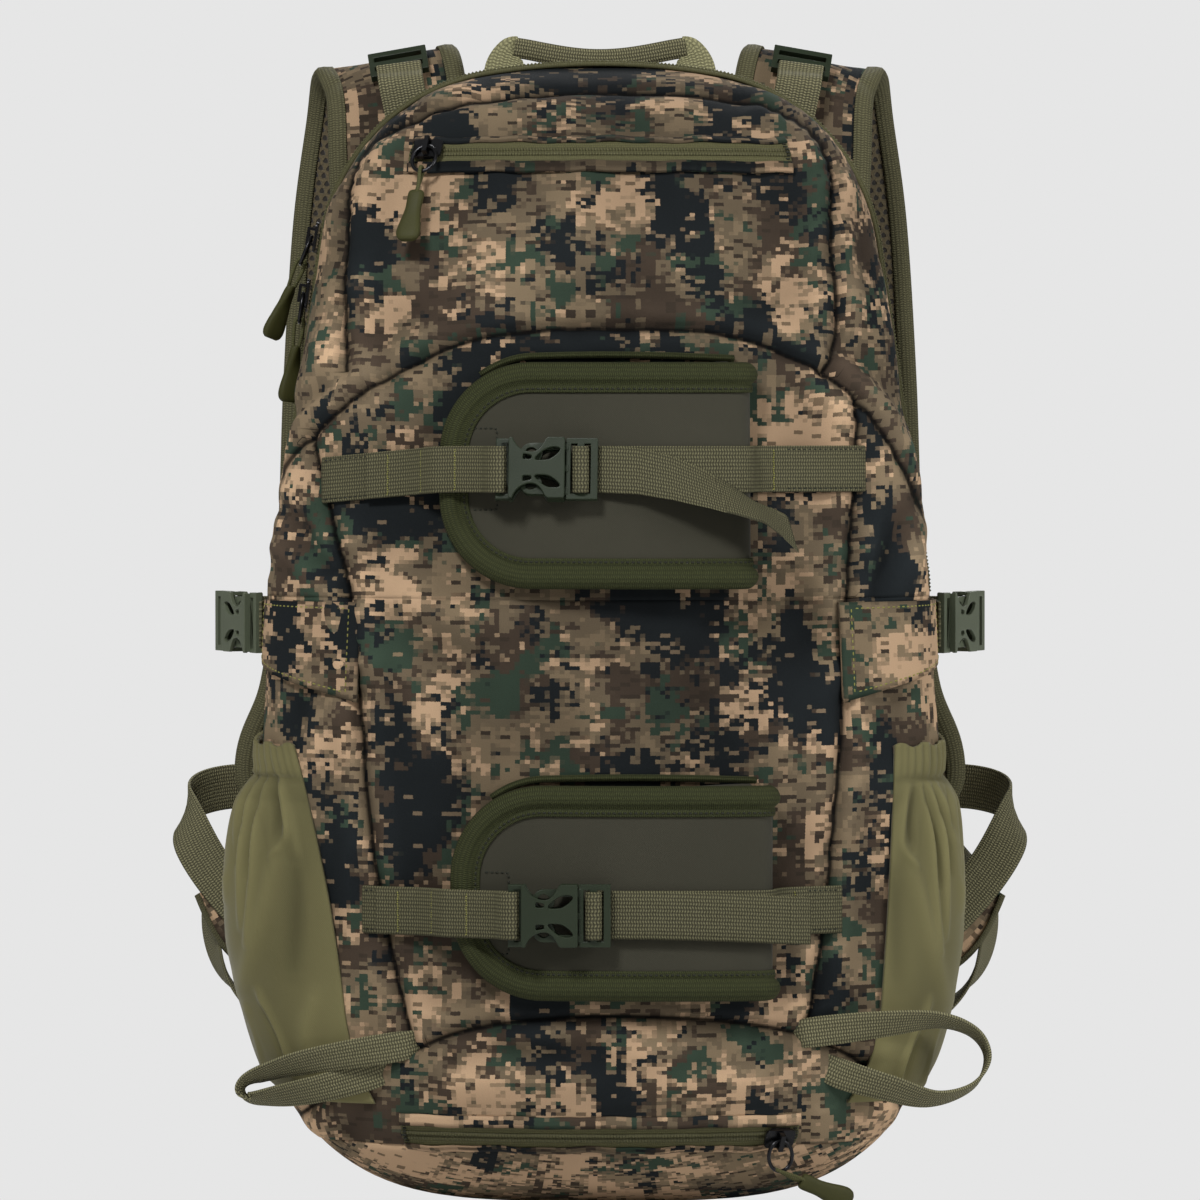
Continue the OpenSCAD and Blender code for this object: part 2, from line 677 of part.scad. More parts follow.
// The binding runs round the free edges of the front layer
module sling_binding(z, h, s0, s1) {
  far = s1 - fold_r - flap_t / 2;
  rise = h / 2 - flap_end_r;
  function edge(in) = let (r = flap_end_r - in, c = s0 + flap_end_r) concat(
    [for (k = [0:4]) [far + (c - far) * k / 5, h / 2 - in]],
    [for (f = [0:15:90]) [c - r * sin(f), rise + r * cos(f)]],
    [for (f = [90:-15:0]) [c - r * sin(f), -rise - r * cos(f)]],
    [for (k = [4:-1:0]) [far + (c - far) * k / 5, in - h / 2]]);
  function face(d) = [for (in = [0, binding_w / 2, binding_w]) [for (p = edge(in))
    on_front(p[0], z + p[1], flap_d(p[0], s0, s1) + flap_t / 2 + lay + d)]];
  patch(face(binding_t), face(0));
}

// Straps and buckle over a flap. The socket's mouth is at s = mouth.
function buckle_d(s0, s1, mouth) =
  flap_d(mouth + male_len, s0, s1) + flap_t / 2 + 3.4 * lay + 2 * web_t + bar_t / 2;

function over_flap(s, s0, s1, layer) =
  flap_d(s, s0, s1) + flap_t / 2 + layer * (lay + web_t) - web_t / 2;

// A place beside a buckle: t along it from its mouth and n out from its middle, as s and d on the front
function by_buckle(mouth, d, t, n) =
  let (r = front_r + d + n) [mouth + atan2(t, r) * PI / 180 * front_r, norm([r, t]) - front_r];

// Half the height of a webbing that leans with the front
function web_half(z) = web_w / 2 * cos(front_tilt(z));

function wrap_d(z) = (bar_t / 2 + lay + web_t / 2) / cos(front_tilt(z)) + 0.4;

module sling_strap_left(z, s0, s1, mouth, anchor) {
  bar = bar_w / 2 - socket_len;
  d = buckle_d(s0, s1, mouth);
  wrap = wrap_d(z);
  low = lay * 2 + web_t / 2;
  climb = over_flap(s0, s0, s1, 1) + binding_t + lay;
  function near(t, n) = by_buckle(mouth, d, bar + t, n);
  lower = [[-anchor, low], [s0 - 34, low], [s0 - 24, low], [s0 - 14, low + 0.4],
    [s0 - 7.5, low + (climb - low) * 0.45],
    [s0 - 1, climb + 0.5], [s0 + 8, climb + 1.6], near(-6, -wrap - 1.2), near(-1, -wrap)];
  around = [near(bar_w / 2, -wrap), near(bar_w / 2 + 1.1, -wrap * 0.6), near(bar_w / 2 + 1.4, 0),
    near(bar_w / 2 + 1.1, wrap * 0.6), near(bar_w / 2, wrap), near(-1, wrap), near(-3.8, wrap - 1.4)];
  upper = set_out([for (i = [1:len(lower) - 2]) lower[i]], web_t + lay * 0.7);
  run = concat(lower, around, reversed(upper));
  front_ribbon(run, web_t, [for (p = run) z], [for (p = run) web_half(z)]);
}

module sling_strap_right(z, s0, s1, mouth, anchor, droop) {
  d = buckle_d(s0, s1, mouth);
  wrap = wrap_d(z);
  low = lay * 2 + web_t / 2;
  step = slot_w + bar_w;
  end = mouth + male_len;
  outer = male_len - bar_w - slot_w / 2;
  inner = outer - step;
  under = -wrap - web_t - lay * 0.8;
  far = s1 - fold_r - flap_t / 2;
  hug = fold_r + flap_t / 2 + lay + web_t / 2;
  function near(t, n) = by_buckle(mouth, d, t, n);
  run_in = [for (k = [0.95, 0.75, 0.5, 0.25]) let (s = end + 2 + (far - end - 2) * k)
    [s, over_flap(s, s0, s1, 1)]];
  run_out = [for (k = [0.25, 0.5, 0.75, 0.95]) let (s = end + 2 + (far - end - 2) * k)
    [s, over_flap(s, s0, s1, 2) + lay * 0.6]];
  run = concat([[anchor, low], [far + 26, low], [far + 18, low + 0.5], [far + 12.5, low + 3]],
    [for (f = [0:30:90]) [far + hug * cos(f), flap_low + fold_r + hug * sin(f)]], run_in,
    [near(male_len, under), near(inner + 3, under), near(inner + 0.9, under + 0.5),
      near(inner, under + 2),
      near(inner, wrap - 1.6), near(inner + 0.9, wrap - 0.3), near(inner + step / 2, wrap),
        near(outer - 0.9, wrap - 0.3),
      near(outer, wrap - 1.6), near(outer, 1.5 - wrap), near(outer + 0.9, 0.2 - wrap),
        near(male_len, -wrap)], run_out,
    [[far + 6, flap_far + hug - fold_r + 2.2], [far + 14, flap_far + hug - fold_r + 2],
      [far + 22, flap_far + hug - fold_r + 1]]);
  tail_from = len(run) - 7;
  front_ribbon(run, web_t, [for (i = [0:len(run) - 1])
    z - (i < tail_from ? 0 : droop * pow((i - tail_from) / 6, 1.5))], [for (p = run) web_half(z)]);
}

upper_s0 = -66;
upper_s1 = 61;
upper_mouth = -13.5;
lower_s0 = -61;
lower_s1 = 70;
lower_mouth = -8.5;
anchor_s = 116;
upper_strap_z = upper_z + upper_strap;
lower_strap_z = lower_z + lower_strap;

module at_buckle(z, s0, s1, mouth) {
  at_front(mouth, z, buckle_d(s0, s1, mouth), front_tilt(z)) rotate([90, 0, 0]) children();
}

module upper_sling_flap() {
  color([0.3, 0.28, 0.26]) sling_flap(upper_z, upper_h, upper_s0, upper_s1);
}

module upper_sling_binding() {
  color([0.27, 0.29, 0.18]) sling_binding(upper_z, upper_h, upper_s0, upper_s1);
}

module upper_sling_strap_left() {
  color([0.39, 0.38, 0.29]) sling_strap_left(upper_strap_z, upper_s0, upper_s1, upper_mouth, anchor_s);
}

module upper_sling_strap_right() {
  color([0.39, 0.38, 0.29]) sling_strap_right(upper_strap_z, upper_s0, upper_s1, upper_mouth,
    anchor_s, 24);
}

module upper_buckle_female() {
  buckle_colour() at_buckle(upper_strap_z, upper_s0, upper_s1, upper_mouth) buckle_female();
}

module upper_buckle_male() {
  buckle_colour() at_buckle(upper_strap_z, upper_s0, upper_s1, upper_mouth) buckle_male();
}

module lower_sling_flap() {
  color([0.3, 0.28, 0.26]) sling_flap(lower_z, lower_h, lower_s0, lower_s1);
}

module lower_sling_binding() {
  color([0.27, 0.29, 0.18]) sling_binding(lower_z, lower_h, lower_s0, lower_s1);
}

module lower_sling_strap_left() {
  color([0.39, 0.38, 0.29]) sling_strap_left(lower_strap_z, lower_s0, lower_s1, lower_mouth,
    anchor_s - 14);
}

module lower_sling_strap_right() {
  color([0.39, 0.38, 0.29]) sling_strap_right(lower_strap_z, lower_s0, lower_s1, lower_mouth,
    anchor_s - 12, 3);
}

module lower_buckle_female() {
  buckle_colour() at_buckle(lower_strap_z, lower_s0, lower_s1, lower_mouth) buckle_female();
}

module lower_buckle_male() {
  buckle_colour() at_buckle(lower_strap_z, lower_s0, lower_s1, lower_mouth) buckle_male();
}

// Zips on the front: a tape and a coil turned about the axis of the front, leaning with the cloth

tape_d = lay * 2.5;
coil_top = tape_d + tape_t + coil_h;

module face_zip(z, reach, sink) {
  translate([0, front_axis(z), z]) rotate([0, 0, -90 - reach]) rotate_extrude(angle = 2 * reach)
    translate([front_r - sink, 0]) rotate([0, 0, -front_tilt(z)]) {
      translate([tape_d, -tape_w / 2]) square([tape_t, tape_w]);
      translate([tape_d + tape_t - 0.1, -coil_w / 2]) square([coil_h + 0.1, coil_w]);
    }
}

// Slider with its plate over the coil: X along the zip, Z out from it, 0 on the cloth
module zip_slider(flanges, bridge_turn) {
  plate = coil_top + lay;
  bridge_h = 2 * wire_r + 2;
  translate([0, 0, plate]) linear_extrude(slider_t) {
    square([slider_len - slider_w / 2, slider_w], center = true);
    for (x = [-1, 1]) for (y = [-1, 1])
      translate([x * (slider_len / 2 - slider_w / 4), y * slider_w / 4]) circle(slider_w / 4);
    square([slider_len, slider_w / 2], center = true);
  }
  if (flanges) for (y = [-1, 1]) translate([-slider_len / 2 + slider_w / 4,
    y * (slider_w / 2 - 0.6) - 0.6, plate - coil_h * 0.6])
    cube([slider_len - slider_w / 2, 1.2, coil_h * 0.6 + 0.3]);
  translate([0, 0, plate + slider_t - 0.05]) rotate([0, 0, bridge_turn]) rotate([90, 0, 0])
    linear_extrude(2, center = true)
    difference() {
      translate([-4, 0]) square([8, bridge_h + 0.05]);
      translate([-2.8, -1]) square([5.6, bridge_h - 0.2]);
    }
}

// Middle of the ring's wire over the cloth
pull_d = coil_top + lay + slider_t + lay + wire_r;

// Pull: a ring round the hinge line along X, a cord loop round the ring, and a rubber tab; it
// hangs to -Y
module zip_pull(bend) {
  loop_r = wire_r + 0.3 + cord_r;
  translate([0, -ring_r, 0]) rotate_extrude() translate([ring_r, 0]) circle(wire_r);
  translate([0, -2 * ring_r, 0]) {
    rotate([90, 0, 90]) rotate_extrude(angle = 180) translate([loop_r, 0]) circle(cord_r);
    rotate([0, 0, bend]) {
      for (z = [-loop_r, loop_r]) translate([0, 0.5, z])
        rotate([90, 0, 0]) cylinder(h = 12.5, r = cord_r * 0.9);
      translate([0, -11, 0]) rotate([90, 0, 0]) linear_extrude(tab_len) {
        square([tab_w, tab_t - 2], center = true);
        square([tab_w - 2, tab_t], center = true);
      }
    }
  }
}

front_zip_run = front_zip_deg - 2.2;
bottom_zip_run = bottom_zip_deg - 2.2;

module zip_place(z, angle) {
  translate([0, front_axis(z), z]) rotate([0, 0, angle]) translate([0, -front_r, 0])
    rotate([90 + front_tilt(z), 0, 0]) children();
}

module front_zip() {
  color([0.25, 0.27, 0.17]) face_zip(front_zip_z, front_zip_deg, lay);
}

module front_slider() {
  color([0.08, 0.08, 0.08]) zip_place(front_zip_z, -front_zip_run) zip_slider(true, 90);
}

front_pull_lean = -3;

module front_pull() {
  color([0.37, 0.37, 0.22]) zip_place(front_zip_z, -front_zip_run) translate([0, 0, pull_d])
    rotate([-front_pull_lean, 0, 0]) zip_pull(0);
}

module bottom_zip() {
  color([0.25, 0.27, 0.17]) face_zip(bottom_zip_z, bottom_zip_deg, 0);
}

module bottom_slider() {
  color([0.08, 0.08, 0.08]) zip_place(bottom_zip_z, bottom_zip_run) zip_slider(true, 90);
}

module bottom_pull() {
  color([0.37, 0.37, 0.22]) zip_place(bottom_zip_z, bottom_zip_run) translate([0, 0, pull_d])
    rotate([-28, 0, 0]) zip_pull(66);
}

// Main zip: two tapes along the outline of the zip plane, each with its half of the coil

function outline_half() = concat(
  [for (i = [0:5]) let (z = lid_z + seam + (corner_lo_z - lid_z - seam) * i / 5)
    z < spring_z ? [half_w(z), z, 1, 0] : [half_w(z), z, cos(side_lean), sin(side_lean)]],
  [for (i = [1:9]) let (f = side_lean + (corner_end - side_lean) * i / 9)
    [corner_x + corner_r * cos(f), corner_z + corner_r * sin(f), cos(f), sin(f)]],
  [for (i = [1:3]) let (f = corner_end + (90 - corner_end) * i / 3)
    [top_r * cos(f), top_z + top_r * sin(f), cos(f), sin(f)]]);

function outline() = let (h = outline_half()) concat(h,
  [for (i = [len(h) - 2:-1:0]) [-h[i][0], h[i][1], -h[i][2], h[i][3]]]);

module main_zip(way) {
  run = outline();
  rows = [[seam / 2, coil_top], [coil_w / 2, coil_top], [coil_w / 2 + 0.2, tape_d + tape_t],
    [tape_w / 2, tape_d + tape_t]];
  function face(top) = [for (r = rows) [for (p = run)
    let (d = top ? r[1] : tape_d) [p[0] + d * p[2], zip_y + way * r[0], p[1] + d * p[3]]]];
  patch(way < 0 ? face(true) : face(false), way < 0 ? face(false) : face(true));
}

module main_zip_rear() {
  color([0.25, 0.27, 0.17]) main_zip(1);
}

module main_zip_front() {
  color([0.25, 0.27, 0.17]) main_zip(-1);
}

// Main sliders on the left: the lower one on the straight side, the upper one on the shoulder
lower_slider_z = corner_lo_z - 23;
upper_slider_deg = side_lean + 1;

// X of the slider's own frame runs down the zip and Z out of it
module at_side(z) {
  translate([-half_w(z), zip_y, z]) rotate([0, side_lean - 90, 0]) rotate([0, 0, 180]) children();
}

module at_shoulder(deg) {
  translate([-corner_x, zip_y, corner_z]) rotate([0, deg - 90, 0]) translate([0, 0, corner_r])
    rotate([0, 0, 180]) children();
}

module main_slider_lower() {
  color([0.08, 0.08, 0.08]) at_side(lower_slider_z) zip_slider(false, 0);
}

module main_pull_lower() {
  color([0.37, 0.37, 0.22]) at_side(lower_slider_z) translate([0, 0, pull_d]) rotate([0, 0, 90])
    zip_pull(0);
}

upper_pull_lean = 13;

module main_slider_upper() {
  color([0.08, 0.08, 0.08]) at_shoulder(upper_slider_deg) zip_slider(false, 0);
}

module main_pull_upper() {
  color([0.37, 0.37, 0.22]) at_shoulder(upper_slider_deg) translate([0, 0, pull_d])
    rotate([0, -upper_pull_lean, 0]) rotate([0, 0, 90]) zip_pull(0);
}

// Back: pads with a channel between them, a lumbar pad, and a stiff sheet inside

module back_cushion(from, to, z0, z1) {
  n = 6;
  function face(outer) = [for (i = [0:8]) let (v = i / 8, z = z0 + (z1 - z0) * v) [for (k = [0:n])
    let (u = k / n, x = from + (to - from) * u)
    let (crown = (1 - pow(abs(2 * u - 1), 4)) * (1 - pow(abs(2 * v - 1), 8)))
    let (y = zip_y + rear_d(z) - rear_r + sqrt(rear_r * rear_r - x * x))
    [x, y + lay * 2 + (outer ? 4 + (pad_t - 4) * crown : 0), z]]];
  patch(face(false), face(true));
}

module back_pads() {
  color([0.15, 0.15, 0.14]) {
    back_cushion(-pad_reach, -pad_channel, lumbar_low_z + lumbar_h + pad_gap, bag_h - pad_drop);
    back_cushion(pad_channel, pad_reach, lumbar_low_z + lumbar_h + pad_gap, bag_h - pad_drop);
  }
}

module lumbar_pad() {
  color([0.15, 0.15, 0.14]) back_cushion(-pad_reach - 4, pad_reach + 4, lumbar_low_z,
    lumbar_low_z + lumbar_h);
}

module frame_sheet() {
  reach = pad_reach + 6;
  low = lumbar_low_z - 12;
  high = bag_h - pad_drop + 5;
  function face(d) = [for (i = [0:4]) let (z = low + (high - low) * i / 4)
    [for (k = [-4:4]) let (x = reach * k / 4)
    [x, zip_y + rear_d(z) - rear_r + sqrt(rear_r * rear_r - x * x) - wall - lay * 2 - d, z]]];
  color([0.12, 0.12, 0.12]) patch(face(sheet_t), face(0));
}

// Harness, drawn on the right and mirrored for the left

strap_run = [
  [88, back_y + 3.6, bag_h - 76, 1, 0, 0, strap_w],
  [88, back_y + 3.6, bag_h - 60, 1, 0, 0, strap_w],
  [89, back_y + 5.4, bag_h - 37, 1, 0, -0.05, strap_w],
  [90, back_y + 11, bag_h - 12, 1, 0, -0.12, strap_w],
  [93, back_y + 23, bag_h + 2, 1, 0.1, -0.22, strap_w],
  [97, back_y + 38, bag_h, 1, 0.15, -0.26, strap_w],
  [101, back_y + 48, bag_h - 20, 1, 0.2, -0.2, strap_w],
  [107, back_y + 50, bag_h - 66, 1, 0.1, -0.1, strap_w],
  [111, back_y + 46, bag_h - 136, 1, 0, 0, strap_w],
  [114, back_y + 40, bag_h - 216, 1, -0.05, 0.1, strap_w - 4],
  [120, back_y + 34, bag_h - 276, 1, -0.08, 0.15, strap_w - 10],
  [127, back_y + 29, bag_h - 324, 1, -0.1, 0.2, strap_w - 20]
];

module shoulder_strap(way) {
  mirror([way, 0, 0]) strip(strap_run, strap_t, padded_rows, 2);
}

module left_shoulder_strap() {
  color([0.4, 0.34, 0.27]) shoulder_strap(1);
}

module right_shoulder_strap() {
  color([0.4, 0.34, 0.27]) shoulder_strap(0);
}

lock_at = [89.5, back_y + 12.3, bag_h + 5.1];
lock_tilt = 49;
lock_roll = 10;

module at_lock(way) {
  mirror([way, 0, 0]) translate(lock_at) rotate([0, lock_roll, 0]) rotate([lock_tilt, 0, 0])
    rotate([0, 0, 90]) children();
}

module left_ladder_lock() {
  buckle_colour() at_lock(1) ladder_lock();
}

module right_ladder_lock() {
  buckle_colour() at_lock(0) ladder_lock();
}

// The lifter comes off the top gusset and passes over the lock's lower bar into its slot
module load_lifter(way) {
  function by_lock(u, n) = let (h = sin(lock_tilt) * u + cos(lock_tilt) * n)
    lock_at + [h * sin(lock_roll), cos(lock_tilt) * u - sin(lock_tilt) * n, h * cos(lock_roll)];
  over = bar_t / 2 + lay + web_t / 2;
  slot = -(slot_w + bar_w) / 2;
  seat = back_y - pow(80 - web_w / 2, 2) / (2 * rear_r) + lay + web_t / 2;
  steps = [[80, seat, top_seam_z - 16], [80, seat, top_seam_z - 4], [82, back_y - 2, bag_h - 34],
    by_lock(slot - 16, over + 2.4),
    by_lock(slot - 6, over + 0.4), by_lock(slot - 1.2, over + 0.2), by_lock(slot, 1.6),
      by_lock(slot, 0)];
  mirror([way, 0, 0]) strip([for (i = [0:7]) [steps[i][0], steps[i][1], steps[i][2], 1, 0,
    -0.025 * i, web_w]], web_t);
}

module left_load_lifter() {
  color([0.39, 0.38, 0.29]) load_lifter(1);
}

module right_load_lifter() {
  color([0.39, 0.38, 0.29]) load_lifter(0);
}

module strap_adjuster(way) {
  mirror([way, 0, 0]) strip([
    [124.6, back_y + 22.6, bag_h - 314, 1, -0.1, 0.2, web_w],
    [128, back_y + 21.4, bag_h - 330, 0.95, 0, 0.3, web_w],
    [148, back_y + 25, 140, 0.6, 0.5, 0.3, web_w],
    [168, back_y + 26, 124, 0.35, 0.9, 0, web_w],
    [170, back_y + 18, 106, 0.35, 0.9, 0, web_w],
    [162, back_y + 5, 86, 0.2, 0.95, 0, web_w],
    [143, back_y - 5, 70, -0.4, 0.9, 0, web_w],
    [124, back_y - 6.8, 60, -0.89, 0.45, 0, web_w]
  ], web_t);
}

module left_strap_adjuster() {
  color([0.39, 0.38, 0.29]) strap_adjuster(1);
}

module right_strap_adjuster() {
  color([0.39, 0.38, 0.29]) strap_adjuster(0);
}

module belt_wing(way) {
  mirror([way, 0, 0]) strip([
    [89, back_y - 1, 96, 0, 0, 1, 56],
    [112, back_y + 2, 98, 0, 0, 1, 54],
    [132, back_y + 6, 102, -0.1, 0, 1, 46],
    [146, back_y + 8, 107, -0.3, 0, 1, 36],
    [156, back_y + 8.5, 112, -0.5, 0, 1, 28]
  ], wing_t, padded_rows);
}

module left_belt_wing() {
  color([0.4, 0.34, 0.27]) belt_wing(1);
}

module right_belt_wing() {
  color([0.4, 0.34, 0.27]) belt_wing(0);
}

belt_z = 160;
belt_y = back_y + 62;

// The webbing is sewn to the wing's front, turns behind the strap and passes behind the buckle's bar
module belt_webbing(way, end) {
  off = bar_t / 2 + lay + web_t / 2;
  mirror([way, 0, 0]) strip([
    [143, back_y + 1.8, 105, -0.5, 0, 1, web_w],
    [154, back_y + 2.8, 111.5, -0.6, 0, 0.9, web_w],
    [171, back_y + 7, 130, -0.6, 0, 0.6, web_w],
    [182, back_y + 14, 148, -0.5, 0.1, 0.8, web_w],
    [184, back_y + 30, 161, -0.2, 0.1, 1, web_w],
    [170, back_y + 46, 167, 0, 0, 1, web_w],
    [140, back_y + 57, 167, 0, 0, 1, web_w],
    [90, belt_y + 3, 163, 0, 0, 1, web_w],
    [end + 12, belt_y + off + 0.4, belt_z, 0, 0, 1, web_w],
    [end + 2.8, belt_y + off, belt_z, 0, 0, 1, web_w],
    [end + 0.9, belt_y + off - 0.3, belt_z, 0, 0, 1, web_w],
    [end, belt_y + 1.5, belt_z, 0, 0, 1, web_w],
    [end, belt_y, belt_z, 0, 0, 1, web_w]
  ], web_t, flat_rows, 2);
}

// The socket lies to the left of the middle, the prongs to the right
module at_belt() {
  translate([8, belt_y, belt_z]) rotate([90, 0, 0]) children();
}

module left_belt_webbing() {
  color([0.39, 0.38, 0.29]) belt_webbing(1, socket_len - 8 - bar_w - slot_w / 2);
}

module right_belt_webbing() {
  color([0.39, 0.38, 0.29]) belt_webbing(0, 8 + male_len - bar_w - slot_w / 2);
}

module belt_buckle_female() {
  buckle_colour() at_belt() buckle_female();
}

module belt_buckle_male() {
  buckle_colour() at_belt() buckle_male();
}

// Grab handle: webbing folded flat, two feet and a band

handle_out = 52;
handle_low = top_seam_z + 1;
handle_high = bag_h + 12;
handle_y = back_y - pow(handle_out - handle_foot, 2) / (2 * rear_r) + lay;

module grab_handle() {
  color([0.3, 0.3, 0.24]) translate([0, handle_y + handle_t, 0]) rotate([90, 0, 0])
    linear_extrude(handle_t) difference() {
    translate([-handle_out, handle_low]) square([2 * handle_out, handle_high - handle_low]);
    translate([-handle_out + handle_foot, handle_low - 1])
      square([2 * (handle_out - handle_foot), handle_high - handle_band - handle_low + 1]);
  }
}

// Tool loops low on the front

// The ends of a loop are sewn to the front, at s, z and out by d. The rest hangs in front of the
// pocket, at a place and a way across.
module tool_loop(first, free, last) {
  function sewn(p) = let (q = on_front(p[0], p[1], lay * 3 + web_t / 2 + p[2]))
    [q[0], q[1], q[2], 0, -0.1, 1, loop_w];
  strip(concat([for (p = first) sewn(p)],
    [for (p = free) [p[0], zip_y + p[1], p[2], p[3], p[4], p[5], loop_w]],
    [for (p = last) sewn(p)]), web_t, flat_rows, 2);
}

module tool_loops() {
  color([0.39, 0.38, 0.29]) {
    tool_loop([[-76, 72.5, 0], [-87, 70.5, 0.3]],
      [[-118, -117, 64, 0, -0.5, 0.85], [-138, -106, 57, -0.1, -0.85, 0.5],
        [-150, -97, 52, -0.2, -0.95, 0.25], [-153.5, -94, 48.5, 0, -1, 0.15],
        [-148, -95, 46.5, 0.1, -0.95, 0.3], [-122, -111, 53, 0, -0.5, 0.85]],
      [[-98, 58, 0.3], [-89, 60, 0]]);
    tool_loop([[79, 75, 0], [90, 77, 0.3]],
      [[120, -117, 80, 0, -0.5, 0.85], [143, -108, 80.5, 0.1, -0.85, 0.5],
        [158, -98, 74, 0.2, -0.95, 0.25], [163.5, -94, 63, 0.1, -1, 0.1],
        [157, -95, 51.5, -0.1, -0.95, 0.2], [140, -102, 47, -0.1, -0.85, 0.5],
        [120, -113, 53, 0, -0.5, 0.85]],
      [[100, 60, 0.3], [91, 63, 0]]);
  }
}

back_panel();
left_gusset();
right_gusset();
top_gusset();
base_panel();
lower_front_panel();
lid_panel();
left_side_pocket();
right_side_pocket();
left_compression_tab();
right_compression_tab();
back_pads();
lumbar_pad();
frame_sheet();
left_shoulder_strap();
right_shoulder_strap();
left_load_lifter();
right_load_lifter();
left_ladder_lock();
right_ladder_lock();
left_strap_adjuster();
right_strap_adjuster();
left_belt_wing();
right_belt_wing();
left_belt_webbing();
right_belt_webbing();
belt_buckle_female();
belt_buckle_male();
grab_handle();
tool_loops();
main_zip_rear();
main_zip_front();
main_slider_upper();
main_pull_upper();
main_slider_lower();
main_pull_lower();
front_zip();
front_slider();
front_pull();
bottom_zip();
bottom_slider();
bottom_pull();
upper_sling_flap();
upper_sling_binding();
upper_sling_strap_left();
upper_sling_strap_right();
upper_buckle_female();
upper_buckle_male();
lower_sling_flap();
lower_sling_binding();
lower_sling_strap_left();
lower_sling_strap_right();
lower_buckle_female();
lower_buckle_male();
left_compression_webbing();
right_compression_webbing();
left_compression_female();
right_compression_female();
left_compression_male();
right_compression_male();
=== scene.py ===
# %% [markdown]
# A hunting day pack of camouflage cloth, standing on its base on a pale floor. The cloth could be left as those
# solids, but a solid looks like moulded plastic. So every sewn piece is made again here as cloth, and the solid
# that it stands for is hidden.

# %% Load the frame
from math import asin, atan, atan2, cos, degrees, hypot, pi, radians, sin, sqrt, tan
import bmesh
import bpy
import numpy as np
from mathutils import Matrix, Vector, noise


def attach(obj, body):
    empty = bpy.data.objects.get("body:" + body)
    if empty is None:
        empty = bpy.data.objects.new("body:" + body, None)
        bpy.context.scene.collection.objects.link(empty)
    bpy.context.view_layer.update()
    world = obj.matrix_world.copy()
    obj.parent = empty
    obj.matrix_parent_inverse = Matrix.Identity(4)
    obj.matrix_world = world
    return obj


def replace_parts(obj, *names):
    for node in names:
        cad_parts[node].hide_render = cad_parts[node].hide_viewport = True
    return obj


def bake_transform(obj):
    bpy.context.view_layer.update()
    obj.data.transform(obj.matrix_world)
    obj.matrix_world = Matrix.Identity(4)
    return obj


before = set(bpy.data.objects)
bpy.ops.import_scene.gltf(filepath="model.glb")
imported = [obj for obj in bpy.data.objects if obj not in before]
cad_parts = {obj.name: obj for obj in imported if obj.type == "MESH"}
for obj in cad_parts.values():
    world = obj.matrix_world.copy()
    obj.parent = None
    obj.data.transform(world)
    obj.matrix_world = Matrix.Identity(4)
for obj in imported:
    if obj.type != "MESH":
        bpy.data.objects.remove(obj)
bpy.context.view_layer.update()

# %% [markdown]
# The stuffed bag has one plain form under all its seams: a round belly, sides that lean inwards and an arched top.
# It could be sculpted by hand, but then the cloth would not meet the fittings of the CAD model. So the form is drawn
# by a few curves in millimetres, the same that the CAD model uses: the half width, and the depth in front of and
# behind the plane of the main zip, at each height.

# %% Measures of the bag
BAG_H, ZIP_Y, BACK_Y = 486.0, 16.0, 74.0  # height, plane of the main zip, face of the back
BELLY_Z, BELLY_W = 127.0, 144.0  # the widest place: its height and half width
SPRING_Z, SPRING_W = 265.0, 140.5  # where the sides begin to lean
FOOT_Z, FOOT_W = 88.0, 56.0  # where the base begins to round in, and half its width on the floor
FRONT_R, REAR_R = 230.0, 600.0
LID_Z, TOP_SEAM_Z, BASE_SEAM_Z = 258.0, 436.0, 28.0
LEAN = radians(8.24)
CORNER_R, CORNER_END = 85.2, radians(80.25)
LAY, WEB_T, WEB_W = 0.4, 1.5, 20.0  # room between layers, thickness and width of webbing
lead = (1 - sin(CORNER_END)) / cos(CORNER_END)
rise = CORNER_R - CORNER_R * sin(LEAN) + lead * (SPRING_W - CORNER_R * cos(LEAN))
side_len = (BAG_H - SPRING_Z - rise) / (cos(LEAN) - lead * sin(LEAN))
CORNER_X = SPRING_W - side_len * sin(LEAN) - CORNER_R * cos(LEAN)
CORNER_Z = SPRING_Z + side_len * cos(LEAN) - CORNER_R * sin(LEAN)
TOP_R = CORNER_R + CORNER_X / cos(CORNER_END)
CORNER_LO = CORNER_Z + CORNER_R * sin(LEAN)
CORNER_HI = CORNER_Z + CORNER_R * sin(CORNER_END)
print("corner of the arch at", round(CORNER_X, 1), round(CORNER_Z, 1), "mm, top radius", round(TOP_R), "mm")


# %% Width and depth at a height
def half_width(z):
    low = lambda h: BELLY_W - (BELLY_W - SPRING_W) * ((h - BELLY_Z) / (SPRING_Z - BELLY_Z)) ** 2
    if z < FOOT_Z:
        return FOOT_W + (low(FOOT_Z) - FOOT_W) * sqrt(1 - ((FOOT_Z - z) / FOOT_Z) ** 2)
    if z < SPRING_Z:
        return low(z)
    if z < CORNER_LO:
        return SPRING_W - (z - SPRING_Z) * tan(LEAN)
    if z < CORNER_HI:
        return CORNER_X + sqrt(CORNER_R ** 2 - (z - CORNER_Z) ** 2)
    return sqrt(max(0, TOP_R ** 2 - (z - BAG_H + TOP_R) ** 2))


def round_base(z, height):
    return 1 if z >= height else sqrt(1 - ((height - z) / height) ** 2)


def round_top(z, start):
    return 1 if z <= start else max(0, 1 - ((z - start) / (BAG_H - start)) ** 2) ** 0.6


def front_depth(z):
    lean = 136 - 87 * (max(0, z - BELLY_Z) / (BAG_H - BELLY_Z)) ** 2.25
    return round_top(z, 440) * (66 + (lean - 66) * round_base(z, 75))


def rear_depth(z):
    return round_top(z, 430) * (34 + 24 * round_base(z, 45))


